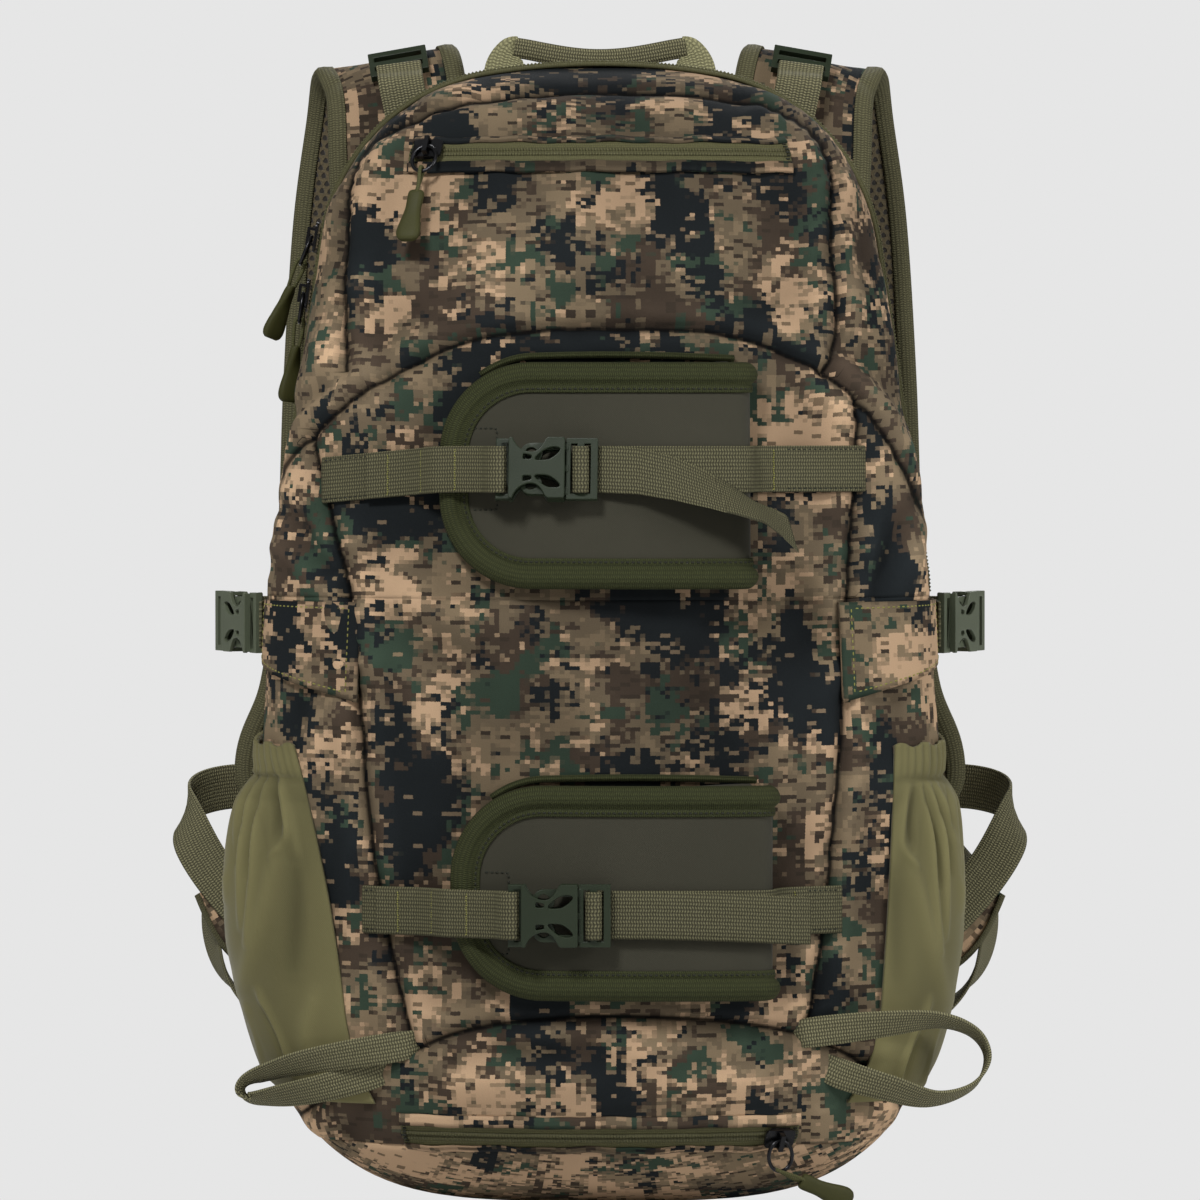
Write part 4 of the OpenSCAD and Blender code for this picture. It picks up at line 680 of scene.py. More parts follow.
# %% Folds of the front
FOLDS = [  # pixels along the fold, height in mm, half width in mm
    ([(400, 376), (340, 408), (303, 446), (283, 495), (268, 555)], 3.0, 6),
    ([(345, 380), (312, 405), (285, 445), (272, 485)], -2.4, 5),
    ([(330, 330), (318, 372), (290, 410)], 2.0, 6),
    ([(800, 356), (860, 396), (895, 444), (915, 505)], 2.2, 6),
    ([(838, 340), (880, 385), (905, 430)], -1.8, 5),
    ([(282, 505), (312, 530), (340, 580)], -2.6, 3.6),
    ([(300, 478), (325, 512), (347, 560)], 2.0, 4.5),
    ([(276, 545), (300, 560), (332, 600)], 2.0, 4),
    ([(292, 470), (308, 500), (330, 530)], -1.6, 3),
    ([(325, 645), (308, 690), (300, 735)], -2.4, 4.5),
    ([(350, 690), (330, 720), (318, 760)], 1.8, 6),
    ([(372, 600), (430, 640), (490, 650)], -1.8, 8),
    ([(372, 640), (420, 690), (440, 770)], 2.0, 9),
    ([(400, 580), (460, 610), (540, 612)], 1.4, 7),
    ([(840, 610), (790, 650), (740, 660)], -1.6, 8),
    ([(842, 660), (800, 700), (780, 770)], 1.8, 9),
    ([(905, 500), (880, 560), (868, 600)], -2.4, 4),
    ([(922, 520), (903, 560), (890, 602)], 2.2, 4.5),
    ([(862, 470), (868, 520), (862, 570)], 1.6, 5),
    ([(870, 640), (890, 690), (900, 735)], -2.0, 4.5),
    ([(450, 300), (560, 268), (690, 262)], 1.3, 12),
    ([(700, 322), (780, 300), (826, 250)], -1.6, 7),
    ([(360, 345), (420, 306), (470, 250)], -1.6, 8),
    ([(395, 250), (430, 290), (520, 312)], 1.2, 9),
    ([(400, 1082), (500, 1058), (620, 1062)], 2.2, 7),
    ([(640, 1072), (740, 1060), (840, 1087)], 2.0, 7),
    ([(430, 1046), (500, 1030), (570, 1046)], -1.8, 5),
    ([(590, 1030), (680, 1036), (760, 1030)], 1.4, 5),
    ([(350, 1120), (420, 1160), (520, 1175)], 1.6, 6),
    ([(330, 1090), (360, 1130), (400, 1150)], -2.0, 5),
    ([(700, 1180), (800, 1165), (860, 1140)], 1.6, 6),
    ([(480, 745), (560, 722), (650, 742)], -1.5, 11),
    ([(560, 640), (600, 700), (590, 765)], 1.4, 11),
    ([(700, 610), (690, 680), (720, 750)], -1.3, 10),
    ([(350, 200), (332, 262), (326, 330)], -1.8, 5),
    ([(318, 200), (306, 262), (302, 320)], 1.6, 6),
    ([(850, 200), (868, 270), (880, 340)], -1.6, 5),
    ([(480, 96), (600, 84), (720, 92)], -0.9, 5),
    ([(388, 800), (410, 900), (432, 980)], -1.4, 7),
    ([(815, 820), (800, 900), (786, 985)], -1.4, 7),
]
FOLDS = [(seen_at(*p), h, w) for p, h, w in FOLDS]
HELD = [  # s from and to, z from and to, of what lies on the cloth
    (-68, 64, 262, 358), (-128, 118, 296, 324), (-63, 73, 91, 182), (-104, 106, 116, 140),
    (-84, 84, 436, 456), (-88, 88, 24, 44), (-102, -72, 48, 80), (76, 108, 48, 80),
]


def held_flat(s, z):
    """Most that the cloth may rise at a place, in mm."""
    far = np.full(s.shape, 1e9)
    for s0, s1, z0, z1 in HELD:
        far = np.minimum(far, np.hypot(np.maximum(np.maximum(s0 - s, s - s1), 0),
                                       np.maximum(np.maximum(z0 - z, z - z1), 0)))
    return 0.25 + 0.22 * np.clip(far - 1.5, 0, 40)


print("folds drawn:", len(FOLDS), "places held flat:", len(HELD))


# %% Push the cloth out
def rough_cloth(points, size, seed):
    """Smooth unevenness of cloth, about size mm across."""
    flat = points.reshape(-1, 3) / size
    shift = Vector((seed, seed * 1.7, seed * 0.3))
    return np.array([noise.noise(Vector(p) + shift) for p in flat]).reshape(points.shape[:2])


def seam_relief(k, line, x, z, facing):
    """Groove and swelling of one seam, and how far each place lies from it on its two sides."""
    far, share, side = distance(line, x, z)
    run = share * lengths(line, 0)[-1]
    pucker = 0.8 + 0.3 * np.sin(run / 5.3 + 3 * np.sin(run / 29 + k))
    groove = -2.0 * np.exp(-(far / 1.9) ** 2) * facing
    lift = 2.2 * pucker * np.exp(-((far - 7) / 5) ** 2) * facing
    lift += 0.5 * np.sin(run / 2.3 + 2 * np.sin(run / 13 + k)) * np.exp(-(far / 8) ** 2) * facing
    past = (share <= 0) | (share >= 1) | (facing < 0.25)
    return groove, lift, np.where(past, SEAM_REACH, np.minimum(far, SEAM_REACH) * side)


def sculpt_front(grid):
    """How far the cloth of the front is pushed out, and its measures beside the seams."""
    x, z = grid[..., 0], grid[..., 2]
    s = np.arcsin(np.clip(x / FRONT_R, -1, 1)) * FRONT_R
    facing = np.clip(-outward(grid)[..., 1] * 2.2, 0, 1)
    groove, lift, near, beside = np.zeros(x.shape), np.zeros(x.shape), np.zeros(x.shape), []
    for k, line in enumerate(SEAMS):
        cut, swell, off = seam_relief(k, line, x, z, facing)
        groove, lift = groove + cut, lift + swell
        beside.append(1 + off / SEAM_REACH)
        near = np.maximum(near, 1 - np.abs(off) / SEAM_REACH)
    nearer = lambda a, b: np.where(np.abs(a - 1) < np.abs(b - 1), a, b)
    beside = {"seam_over": nearer(beside[0], 2 - beside[4]), "seam_arch": beside[1],
              "seam_side": nearer(beside[2], 2 - beside[3]), "seam_near": near}
    for line, height, wide in FOLDS:
        far, share, _ = distance(line, x, z)
        lift += height * np.exp(-(far / wide) ** 2) * np.sin(pi * np.clip(share, 0.02, 0.98)) ** 0.5
    lift += 2.2 * rough_cloth(grid, 62, 2.0) + 1.2 * rough_cloth(grid * (1.0, 1.0, 0.7), 24, 5.0)
    lift += 0.45 * rough_cloth(grid * (1.0, 1.0, 0.5), 9, 9.0)
    lift = np.minimum(lift, held_flat(s, z)) * np.clip((BAG_H - 3 - z) / 8, 0, 1)
    # Painted shade in pressed-in folds and painted highlight on raised ones, from how far the cloth is pushed.
    beside["fold"] = np.clip(0.5 + lift / 9, 0.1, 0.9)
    return (lift + groove) * np.clip((z - 26) / 6, 0, 1), beside


HALF_COLS = (10, 20, 84)  # columns over half the front: side, corner and face
COLS = 2 * sum(HALF_COLS) + 1
low_levels = list(np.linspace(BASE_SEAM_Z + 0.3, FOOT_Z, 44)) + list(np.linspace(FOOT_Z, LID_Z, 112)[1:])
lid_levels = list(np.linspace(LID_Z, CORNER_LO, 92)) + [
    CORNER_LO + (BAG_H - 0.05 - CORNER_LO) * sin(v * pi / 2) for v in np.linspace(0, 1, 62)[1:]]
levels = low_levels + lid_levels[1:]
front_grid = np.array([[(x, ZIP_Y - 0.15 + y, z) for x, y in front_section(z, HALF_COLS)] for z in levels])
push, beside = sculpt_front(front_grid)
fade = np.clip((np.minimum(np.arange(COLS), np.arange(COLS)[::-1]) - 5) / 5, 0, 1)
front_moved = front_grid + outward(front_grid) * (push * fade)[..., None]
print("front pushed out by", round(push.min(), 1), "to", round(push.max(), 1), "mm")

# %% [markdown]
# Each panel is cut from another place of the printed roll, so the print jumps at every seam. The print could run on
# over the whole front, but that would look like one stretched skin. The panel of each face is found by which seams
# lie round it, and its map is shifted by that panel's own amount.

# %% Panels of the print
CUT_ROUND = 200  # mm, wider than the bag


def panel_of(x, z):
    below = lambda height: [[CUT_ROUND, height], [CUT_ROUND, -50], [-CUT_ROUND, -50], [-CUT_ROUND, height]]
    between = (SEAM_ARCH[:, 0] > SEAM_LEFT[0, 0]) & (SEAM_ARCH[:, 0] < SEAM_RIGHT[0, 0])
    top = np.vstack([SEAM_TOP, SEAM_ARCH[::-1]])
    under = np.vstack([SEAM_ARCH, below(230)])
    middle = np.vstack([SEAM_LEFT[::-1], SEAM_ARCH[between], SEAM_RIGHT, SEAM_LOW[::-1]])
    low = np.vstack([SEAM_LOW_L[::-1], SEAM_LOW, SEAM_LOW_R, below(20)])
    which = np.zeros(x.shape, int)
    which[inside(top, x, z)] = 1
    which[inside(under, x, z) & (x < 0)] = 3
    which[inside(under, x, z) & (x >= 0)] = 4
    which[inside(middle, x, z)] = 2
    which[inside(low, x, z)] = 5
    return which


SHIFTS = np.array([(610, 40), (90, 70), (0, 0), (310, 220), (420, 130), (220, 410)], float)
across = lengths(front_grid, 1)
across = across - across[:, [COLS // 2]]
upward = np.repeat(lengths(front_grid[:, COLS // 2], 0)[:, None], COLS, 1)
print("panels of the print:", len(SHIFTS))

# %% [markdown]
# The front is one sheet that is sewn as two pieces, because the upper part is the lid that the main zip frees. The lid
# piece is baked in place and tied to no body. A solidify modifier gives the sheet its thickness, with the lining
# inside.


# %% Front cloth
def run_modifier(thing, kind, **settings):
    bpy.ops.object.select_all(action="DESELECT")
    bpy.context.view_layer.objects.active = thing
    thing.select_set(True)
    mod = thing.modifiers.new(kind.lower(), kind)
    for key, value in settings.items():
        setattr(mod, key, value)
    bpy.ops.object.modifier_apply(modifier=mod.name)


def line_cloth(thing):
    run_modifier(thing, "SOLIDIFY", thickness=0.0018, offset=-1, material_offset=1)


def hang(thing, body):
    """Tie a piece to its body. A piece on the lid is baked in place instead."""
    if body == "lid":
        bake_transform(thing)
    else:
        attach(thing, body)


def sew_front(name, first, last, body):
    grid, moved = front_grid[first:last + 1], front_moved[first:last + 1]
    rows, cols = grid.shape[:2]
    faces = np.array(grid_faces(rows, cols))
    maps = np.stack([across[first:last + 1], upward[first:last + 1]], -1).reshape(-1, 2)
    centre = grid.reshape(-1, 3)[faces].mean(1)
    maps = maps[faces] + SHIFTS[panel_of(centre[:, 0], centre[:, 2])][:, None]
    thing = piece(name, moved.reshape(-1, 3), faces.tolist(), maps.reshape(-1, 2), [camo, lining], None,
                  "camo_cloth", seam=np.zeros(rows * cols), **{k: v[first:last + 1] for k, v in beside.items()})
    line_cloth(thing)
    hang(thing, body)
    return thing


lid_row = len(low_levels) - 1
lid_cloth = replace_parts(sew_front("lid_cloth", lid_row, len(levels) - 1, "lid"), "lid_panel")
front_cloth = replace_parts(sew_front("front_cloth", 0, lid_row, "pack"), "lower_front_panel")
print("front:", len(lid_cloth.data.vertices) + len(front_cloth.data.vertices), "points")

# %% [markdown]
# Behind the zip come the side gussets and the top in the same print, and a back panel of net. They are sewn to the
# back of the zip tape and to each other, so their edges are drawn in, with painted shade along them. They use the
# rear half of the same level sections, with a slight unevenness, because no deep fold shows there.


# %% Gussets, top and back
def edge_fade(count):
    return np.clip(np.minimum(np.arange(count), np.arange(count)[::-1]) / 4, 0, 1)


def sew_rear(name, levels, first, last, finish, slot, nodes, shift, swell=1.2):
    grid = np.array([[(x, ZIP_Y + 0.15 + y, z) for x, y in rear_section(z, REAR)[first:last + 1]] for z in levels])
    rows, wide = grid.shape[:2]
    push = swell * rough_cloth(grid, 55, shift) + swell * 0.4 * rough_cloth(grid, 20, shift + 3)
    fade = edge_fade(wide)[None, :] * edge_fade(rows)[:, None]
    moved = grid + outward(grid) * ((push - swell) * fade)[..., None]
    run, middle = lengths(grid, 1), wide // 2
    upward = np.repeat(lengths(grid[:, middle], 0)[:, None], wide, 1)
    maps = np.stack([run - run[:, [middle]], upward], -1).reshape(-1, 2) + shift * 57
    # seam paints shade along the sewn edges.
    thing = piece(name, moved.reshape(-1, 3), grid_faces(rows, wide), maps, [finish, lining], None, slot,
                  seam=(1 - fade) * 0.5)
    line_cloth(thing)
    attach(thing, "pack")
    print(name, rows, "by", wide, "points")
    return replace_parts(thing, *nodes)


REAR = (14, 12, 24)  # columns over half the rear: side, corner and face
SIDE_END, BACK_END, REAR_END = 26, 74, 100
wall_levels = list(np.linspace(BASE_SEAM_Z + 0.3, FOOT_Z, 16)) + list(np.linspace(FOOT_Z, TOP_SEAM_Z - 0.3, 70)[1:])
top_levels = [TOP_SEAM_Z + (BAG_H - 0.05 - TOP_SEAM_Z) * sin(v * pi / 2) for v in np.linspace(0, 1, 34)]
sew_rear("right_gusset_cloth", wall_levels, 0, SIDE_END, camo, "camo_cloth", ["right_gusset"], 3.0)
sew_rear("left_gusset_cloth", wall_levels, BACK_END, REAR_END, camo, "camo_cloth", ["left_gusset"], 7.0)
sew_rear("back_cloth", wall_levels, SIDE_END, BACK_END, spacer, "spacer_mesh", ["back_panel"], 5.0, 0.3)
sew_rear("top_cloth", top_levels, 0, REAR_END, camo, "camo_cloth", ["top_gusset"], 9.0)

# %% [markdown]
# The base is one panel that curves up to meet the walls. It is a stack of rings that follow the bag's own sections,
# closed by a small ring in the middle of the floor, so the bag stands flat.

# %% Base
base_levels = [BASE_SEAM_Z * t ** 1.6 for t in np.linspace(0, 1, 14)]
rings = []
for z in [0.0, 0.0] + base_levels:
    ring = np.vstack([front_section(z, (8, 10, 20))[:-1], rear_section(z, (8, 10, 20))[:-1]])
    share = 0.02 if len(rings) == 0 else 0.6 if len(rings) == 1 else 1
    rings.append([(x * share, ZIP_Y + y * share, z) for x, y in ring])
rings = np.array(rings)
n, m = rings.shape[:2]
faces = ring_faces(n, m)[:-1]
flat = rings[..., :2] - (0, ZIP_Y)
spread = np.linalg.norm(flat, axis=-1, keepdims=True)
maps = (flat / np.maximum(spread, 1) * (spread + rings[..., 2:])).reshape(-1, 2) + 900
base_cloth = piece("base_cloth", rings.reshape(-1, 3), faces, maps, [camo, lining], None, "camo_cloth",
                   seam=np.zeros(n * m))
line_cloth(base_cloth)
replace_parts(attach(base_cloth, "pack"), "base_panel")
print("base:", n, "rings of", m, "points")

# %% [markdown]
# The side pockets are stretch cloth, pulled tight over the bag with a gathered hem at the mouth. Gathers fan down from
# the hem and up from the base, and long creases cross between them. The elastic could be simulated, but where the
# gathers fall would be left to chance. So the swell of the pocket is a curve over its height, and gathers and creases
# are waves and strokes pushed into it.

# %% Form of the side pockets
POCKET_LOW, POCKET_TOP = 46, 196  # heights of its lower and upper edge, in mm
POCKET_ROWS, POCKET_COLS = 110, 220
SWELL = smooth_run([(44, 0), (48, 2), (56, 4.6), (70, 5.6), (84, 7.4), (98, 11), (112, 13.8), (135, 14.8), (155, 13.6),
                    (168, 11), (176, 7.4), (181, 3.4), (185, 2.2), (192, 2.4), (198, 3.0)], 8)
CREASES = [  # x and z along the crease as seen from the front, height in mm, half width in mm
    ([(147, 183), (153, 168), (157, 150), (158.5, 128)], 2.2, 1.3), ([(149, 182), (155, 162), (158, 140)], -1.8, 1.0),
    ([(144, 183), (149, 165), (151.5, 140), (152, 118)], 2.6, 1.5), ([(145.5, 182), (151, 165), (154, 145)], -2.2, 1.1),
    ([(140.5, 183), (145, 160), (147, 136), (149.5, 112)], 2.4, 1.6),
    ([(142, 182), (147, 162), (149.5, 140)], -2.2, 1.2),
    ([(135, 183), (133.5, 171), (132.5, 158), (139, 149)], 2.4, 1.5),
    ([(138.5, 182), (136.5, 168), (137.5, 157)], -2.4, 1.8),
    ([(137, 151), (142, 132), (148, 108), (153, 88)], 2.0, 3.5), ([(129.5, 146), (130, 122), (131, 98)], -2.0, 4.5),
    ([(133, 176), (130, 168), (128, 150)], 1.4, 2.0), ([(145.5, 92), (140, 80), (133, 66), (130, 56)], 2.6, 1.6),
    ([(143, 84), (137, 72), (133, 60)], -2.0, 1.5), ([(151, 84), (146.5, 72), (143.5, 60), (142, 52)], 2.4, 1.5),
    ([(149, 80), (145, 68), (142.5, 58)], -1.8, 1.2), ([(120, 92), (124, 76), (122, 58)], 1.6, 4.0),
]


def pocket_ground(levels, way):
    cols = (14, 18, 20)
    runs, outs = np.zeros((POCKET_ROWS, POCKET_COLS, 2)), np.zeros((POCKET_ROWS, POCKET_COLS, 2))
    for i, z in enumerate(levels):
        up = (z - POCKET_LOW) / (POCKET_TOP - POCKET_LOW)
        run = np.vstack([front_section(z, cols)[52:], rear_section(z, cols)[1:14 + 18]])
        at = lengths(run, 0)
        reach = 0.09 * (1 - 0.85 * up) if way > 0 else 0.18 * (1 - up ** 2) - 0.03 * up ** 2
        want = np.linspace(at[20] * (1 - reach), at[-1], POCKET_COLS)
        runs[i] = np.stack([np.interp(want, at, run[:, k]) for k in (0, 1)], -1)
        along = np.gradient(runs[i], axis=0)
        outs[i] = np.stack([along[:, 1], -along[:, 0]], -1) / np.linalg.norm(along, axis=1, keepdims=True)
    return runs, outs


def pocket_folds(u, z, seen, way):
    """How far hem, gathers and creases push the cloth. seen is how far out each place shows from the front."""
    lobes = lambda w, slip: np.abs(np.sin(pi * u / w + slip)) ** 0.8 - 0.64
    push = np.clip((z - 181) / 3, 0, 1) * 1.2 * lobes(0.026, 1.5 * np.sin(u * 23))
    push += 0.6 * np.exp(-((z - 190) / 5) ** 2) - 1.3 * np.exp(-((z - 181.5) / 1.6) ** 2)
    below = np.clip((180 - z) / 8, 0, 1)
    fan = np.exp(-((176 - z) / 26) ** 2) * below
    push += 2.4 * fan * lobes(0.052, 1.3 * np.sin(u * 11) + (171 - z) / 60) * np.clip(u * 4, 0.3, 1)
    foot = below * np.exp(-((z - 72) / 20) ** 2)
    push += 2.2 * foot * lobes(0.085, 0.5 + (z - 72) / 42) * np.clip(u * 5 - 2, 0, 1)
    shift = (0, 0) if way < 0 else (-5, -4)
    for points, high, wide in CREASES:
        far, share, _ = distance(smooth_run(points, 5) + shift, seen, z)
        push += high * np.exp(-(far / wide) ** 2) * np.sin(pi * np.clip(share, 0.03, 0.97)) ** 0.4
    return push + below * 1.2 * np.sin(u * 13 + (z - POCKET_LOW) / 37 + 1.2)


print("creases drawn on a pocket:", len(CREASES))


# %% Side pockets
def side_pocket(name, way, node):
    cloth_t, tall = 1.4, POCKET_TOP - POCKET_LOW
    levels = np.linspace(POCKET_LOW, POCKET_TOP, POCKET_ROWS)
    runs, outs = pocket_ground(levels, way)
    u, z = np.linspace(0, 1, POCKET_COLS), np.repeat(levels[:, None], POCKET_COLS, 1)
    full = (1 if way < 0 else 0.66) * np.interp(levels, SWELL[:, 0], SWELL[:, 1])
    d = 0.8 + full[:, None] * np.sin(pi * u) ** 0.85
    body = runs + outs * (d + cloth_t)[..., None]
    arc, peak = lengths(body, 1), body[..., 0].argmax(1)
    rim = np.arange(POCKET_ROWS), peak
    beyond = body[rim][:, :1] + arc - arc[rim][:, None]
    push = pocket_folds(u, z, np.where(np.arange(POCKET_COLS)[None, :] <= peak[:, None], body[..., 0], beyond), way)
    d = np.maximum(d + push * np.clip(np.minimum(u, 1 - u) * 14, 0, 1), 0.5)
    z = z + 1.0 * np.sin(u * 60 + 2 * np.sin(u * 11)) * ((z - POCKET_LOW) / tall) ** 30
    outer = np.concatenate([runs + outs * (d + cloth_t)[..., None], z[..., None]], -1) + (0, ZIP_Y, 0)
    inner = np.concatenate([runs + outs * d[..., None], z[..., None]], -1) + (0, ZIP_Y, 0)
    loops = np.concatenate([outer, inner[:, ::-1]], 1)
    if way < 0:
        loops = loops[:, ::-1] * (-1, 1, 1)
    rows, m = loops.shape[:2]
    maps = np.stack([lengths(loops, 1), np.repeat(levels[:, None], m, 1)], -1).reshape(-1, 2)
    faces = [f[::-1] for f in shell_faces(rows, m)]
    # Painted shade in the pocket's creases and painted highlight on its ridges, a little darker towards the top.
    tone = 0.5 + push / 8 - 0.05 * (levels[:, None] - 100) / 90
    tone = np.concatenate([tone, tone[:, ::-1]], 1)[:, ::way]
    thing = piece(name, loops.reshape(-1, 3), faces, maps, stretch, "pack", "stretch_cloth", fold=np.clip(tone, 0, 1))
    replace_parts(thing, node)
    size = lengths(outer, 1)[:, -1].mean(), lengths(outer, 0)[-1].mean()
    print(name, "cloth", round(size[0]), "by", round(size[1]), "mm")


side_pocket("right_pocket_cloth", 1, "right_side_pocket")
side_pocket("left_pocket_cloth", -1, "left_side_pocket")

# %% [markdown]
# Two sling flaps hold long gear to the front. Each is a sheet of rubberised cloth that is sewn down behind, folded
# over at its right and cut round at its left. It could be draped, but a buckled strap pulls it to one known shape. So
# its path is set out once, seen from above, in s along the front and d out of it, and each ring of the loft is one
# upright line of the cloth.

# %% Measures of the flaps
FLAP_T, FOLD_R, FLAP_END = 2.4, 6.5, 38.0
FLAP_LOW = 2 * LAY + FLAP_T / 2
FLAP_CLOSE, FLAP_FAR = FLAP_LOW + FLAP_T + LAY, FLAP_LOW + 2 * FOLD_R
BAR_T, BAR_W, SLOT_W, SOCKET, MALE = 3.5, 2.8, 2.8, 29.0, 13.5  # the buckle's bars and slot, and its halves' lengths


def out_of_front(s):
    return np.array([sin(s / FRONT_R), -cos(s / FRONT_R), 0.0])


class Sling:
    """One flap's measures: its middle height, height, ends, buckle mouth and strap height."""

    def __init__(self, z, h, s0, s1, mouth, strap_z):
        self.z, self.h, self.s0, self.s1, self.mouth, self.strap_z = z, h, s0, s1, mouth, strap_z
        self.far = s1 - FOLD_R - FLAP_T / 2
        self.buckle_d = self.d(mouth + MALE) + FLAP_T / 2 + 3.4 * LAY + 2 * WEB_T + BAR_T / 2
        self.wrap = (BAR_T / 2 + LAY + WEB_T / 2) / cos(front_tilt(strap_z)) + 0.4
        self.half = WEB_W / 2 * cos(front_tilt(strap_z))

    def d(self, s):
        return FLAP_CLOSE + (FLAP_FAR - FLAP_CLOSE) * max(0, (s - self.s0) / (self.far - self.s0)) ** 1.5

    def half_height(self, s):
        if s > self.s0 + FLAP_END:
            return self.h / 2
        return self.h / 2 - FLAP_END + sqrt(max(1, FLAP_END ** 2 - (self.s0 + FLAP_END - s) ** 2))

    def over(self, s, layer):
        return self.d(s) + FLAP_T / 2 + layer * (LAY + WEB_T) - WEB_T / 2

    def near(self, t, n):
        r = FRONT_R + self.buckle_d + n
        return (self.mouth + atan2(t, r) * FRONT_R, hypot(r, t) - FRONT_R)


upper_sling = Sling(310, 93, -66, 61, -13.5, 312.5)
lower_sling = Sling(136.5, 88, -61, 70, -8.5, 128)
print("flaps", upper_sling.s1 - upper_sling.s0, "and", lower_sling.s1 - lower_sling.s0, "mm long")


# %% Cloth of a flap
def flap_run(k):
    ends = [0, 0.004, 0.012, 0.025, 0.045, 0.07, 0.1, 0.14, 0.19, 0.25]
    shares = ends + list(np.linspace(0.3, 1, 22))
    under = [(k.s0 + (k.far - k.s0) * t, FLAP_LOW) for t in shares]
    fold = [(k.far + FOLD_R * cos(f), FLAP_LOW + FOLD_R * (1 + sin(f))) for f in np.radians(np.arange(-75, 80, 10))]
    over = [(s, k.d(s)) for s in (k.s0 + (k.far - k.s0) * t for t in shares[::-1])]
    run = np.array(under + fold + over)
    half = np.array([k.half_height(s) for s, _ in run])
    half[:len(under)] += 1.6 * np.clip((run[:len(under), 0] - 0.5 * k.s1) / (0.5 * k.s1), 0, 1)
    return run, half


def flap_cloth(name, k, run, half):
    edge = [(-1, 0), (-0.995, 0.75), (-0.98, 1), (-0.8, 1), (-0.4, 1), (0, 1), (0.4, 1), (0.8, 1), (0.98, 1),
            (0.995, 0.75)]
    shape = np.array(edge + [(-u, -v) for u, v in edge])[::-1]
    way = unit(np.gradient(run, axis=0))
    rings = [[on_front(s - wd * v * FLAP_T / 2, k.z + u * h, d + ws * v * FLAP_T / 2) for u, v in shape]
             for (s, d), h, (ws, wd) in zip(run, half, way)]
    return loft(name, rings, shape[:, 0][None, :] * half[:, None], neoprene, None, "neoprene")


print("upper flap's path", round(lengths(flap_run(upper_sling)[0], 0)[-1]), "mm")

# %% [markdown]
# A ribbed binding is rolled round the free edge of each flap and sewn down with a dark thread. A bevelled curve would
# give a round edge, but this tape is flat inside and swells over the edge. So the tape's cross-section is swept round
# the rim. Threads are small closed stitches, as a texture would have no relief close by.


# %% Cords and stitches
def resample(points, step):
    p = np.asarray(points, float)
    at = lengths(p, 0)
    n = max(2, int(round(at[-1] / step)))
    want = np.linspace(0, at[-1], n + 1)
    return np.stack([np.interp(want, at, p[:, k]) for k in range(p.shape[1])], -1)


def tube(points, radius, sides=10, closed=False):
    p = np.asarray(points, float)
    way = np.roll(p, -1, 0) - np.roll(p, 1, 0) if closed else np.gradient(p, axis=0)
    way /= np.linalg.norm(way, axis=1, keepdims=True)
    side = np.cross(way[0], (0.3, 0.2, 0.93))
    rings = []
    for q, w in zip(p, way):
        side = side - w * side.dot(w)
        side /= np.linalg.norm(side)
        other = np.cross(w, side)
        rings.append([q + radius * (cos(f) * side + sin(f) * other) for f in np.arange(sides) * 2 * pi / sides])
    return np.array(rings)


def stitches(name, runs, finish, body, long=2.4, gap=1.0, r=0.36, slot=None):
    """Rows of thread. Each run is points with the way out of the cloth there."""
    points, faces = [], []
    for place, out in runs:
        both = resample(np.column_stack([place, out]), (long + gap) / 4)
        for i in range(0, len(both) - 3, 4):
            a, b = both[i, :3], both[i + 3, :3]
            n = both[i + 1, 3:] / np.linalg.norm(both[i + 1, 3:])
            w = (b - a) / max(np.linalg.norm(b - a), 1e-9)
            side = np.cross(n, w) * r
            k = len(points)
            m1, m2 = a + (b - a) * 0.25, a + (b - a) * 0.75
            up = n * r * 0.9
            points += [a - n * 0.2, m1 + side, m1 + up, m1 - side, m2 + side, m2 + up, m2 - side, b - n * 0.2]
            faces += [(k, k + 1, k + 2), (k, k + 2, k + 3), (k + 1, k + 4, k + 5, k + 2),
                      (k + 2, k + 5, k + 6, k + 3), (k + 4, k + 7, k + 5), (k + 5, k + 7, k + 6),
                      (k, k + 3, k + 1), (k + 1, k + 3, k + 6, k + 4), (k + 4, k + 6, k + 7)]
    return piece(name, points, faces, np.zeros((len(points), 2)), finish, body, slot)


print("a run of 10 mm in even steps has", len(resample([(0, 0), (10, 0)], 2.5)), "points")


# %% Flaps with binding
TAPE = [(12, -0.1), (12, 0.6), (11.4, 1.0), (9.4, 1.05), (8.4, 0.6), (7.8, 1.3), (6.6, 2.5), (4.9, 3.1), (3.1, 2.9),
        (1.4, 2.1), (0.2, 0.9), (-0.6, -0.4), (-0.8, -1.5), (-0.4, -2.2), (0.1, -2.3), (-0.1, -0.1), (6, -0.1)]


def rim(k, i, h):
    """The line round the flap's free edge that lies i in from the edge and h above the cloth."""
    c, up, skin = k.s0 + FLAP_END, k.h / 2 - FLAP_END, FLAP_T / 2 + LAY * 0.4
    r, out, line = FLAP_END - i, FOLD_R + skin + h, []
    flat = [(s, k.h / 2 - i) for s in np.linspace(k.far, c, 40)[:-1]]
    flat += [(c - r * sin(f), up + r * cos(f)) for f in np.linspace(0, pi / 2, 26)]
    for half in (1, -1):
        part = [on_front(k.far + out * cos(f), k.z + half * (k.h / 2 - i), FLAP_LOW + FOLD_R + out * sin(f))
                for f in np.radians(np.arange(0, 84, 12))]
        part += [on_front(s, k.z + half * z, k.d(s) + skin + h) for s, z in flat]
        line += part if half > 0 else part[::-1]
    return np.array(line)


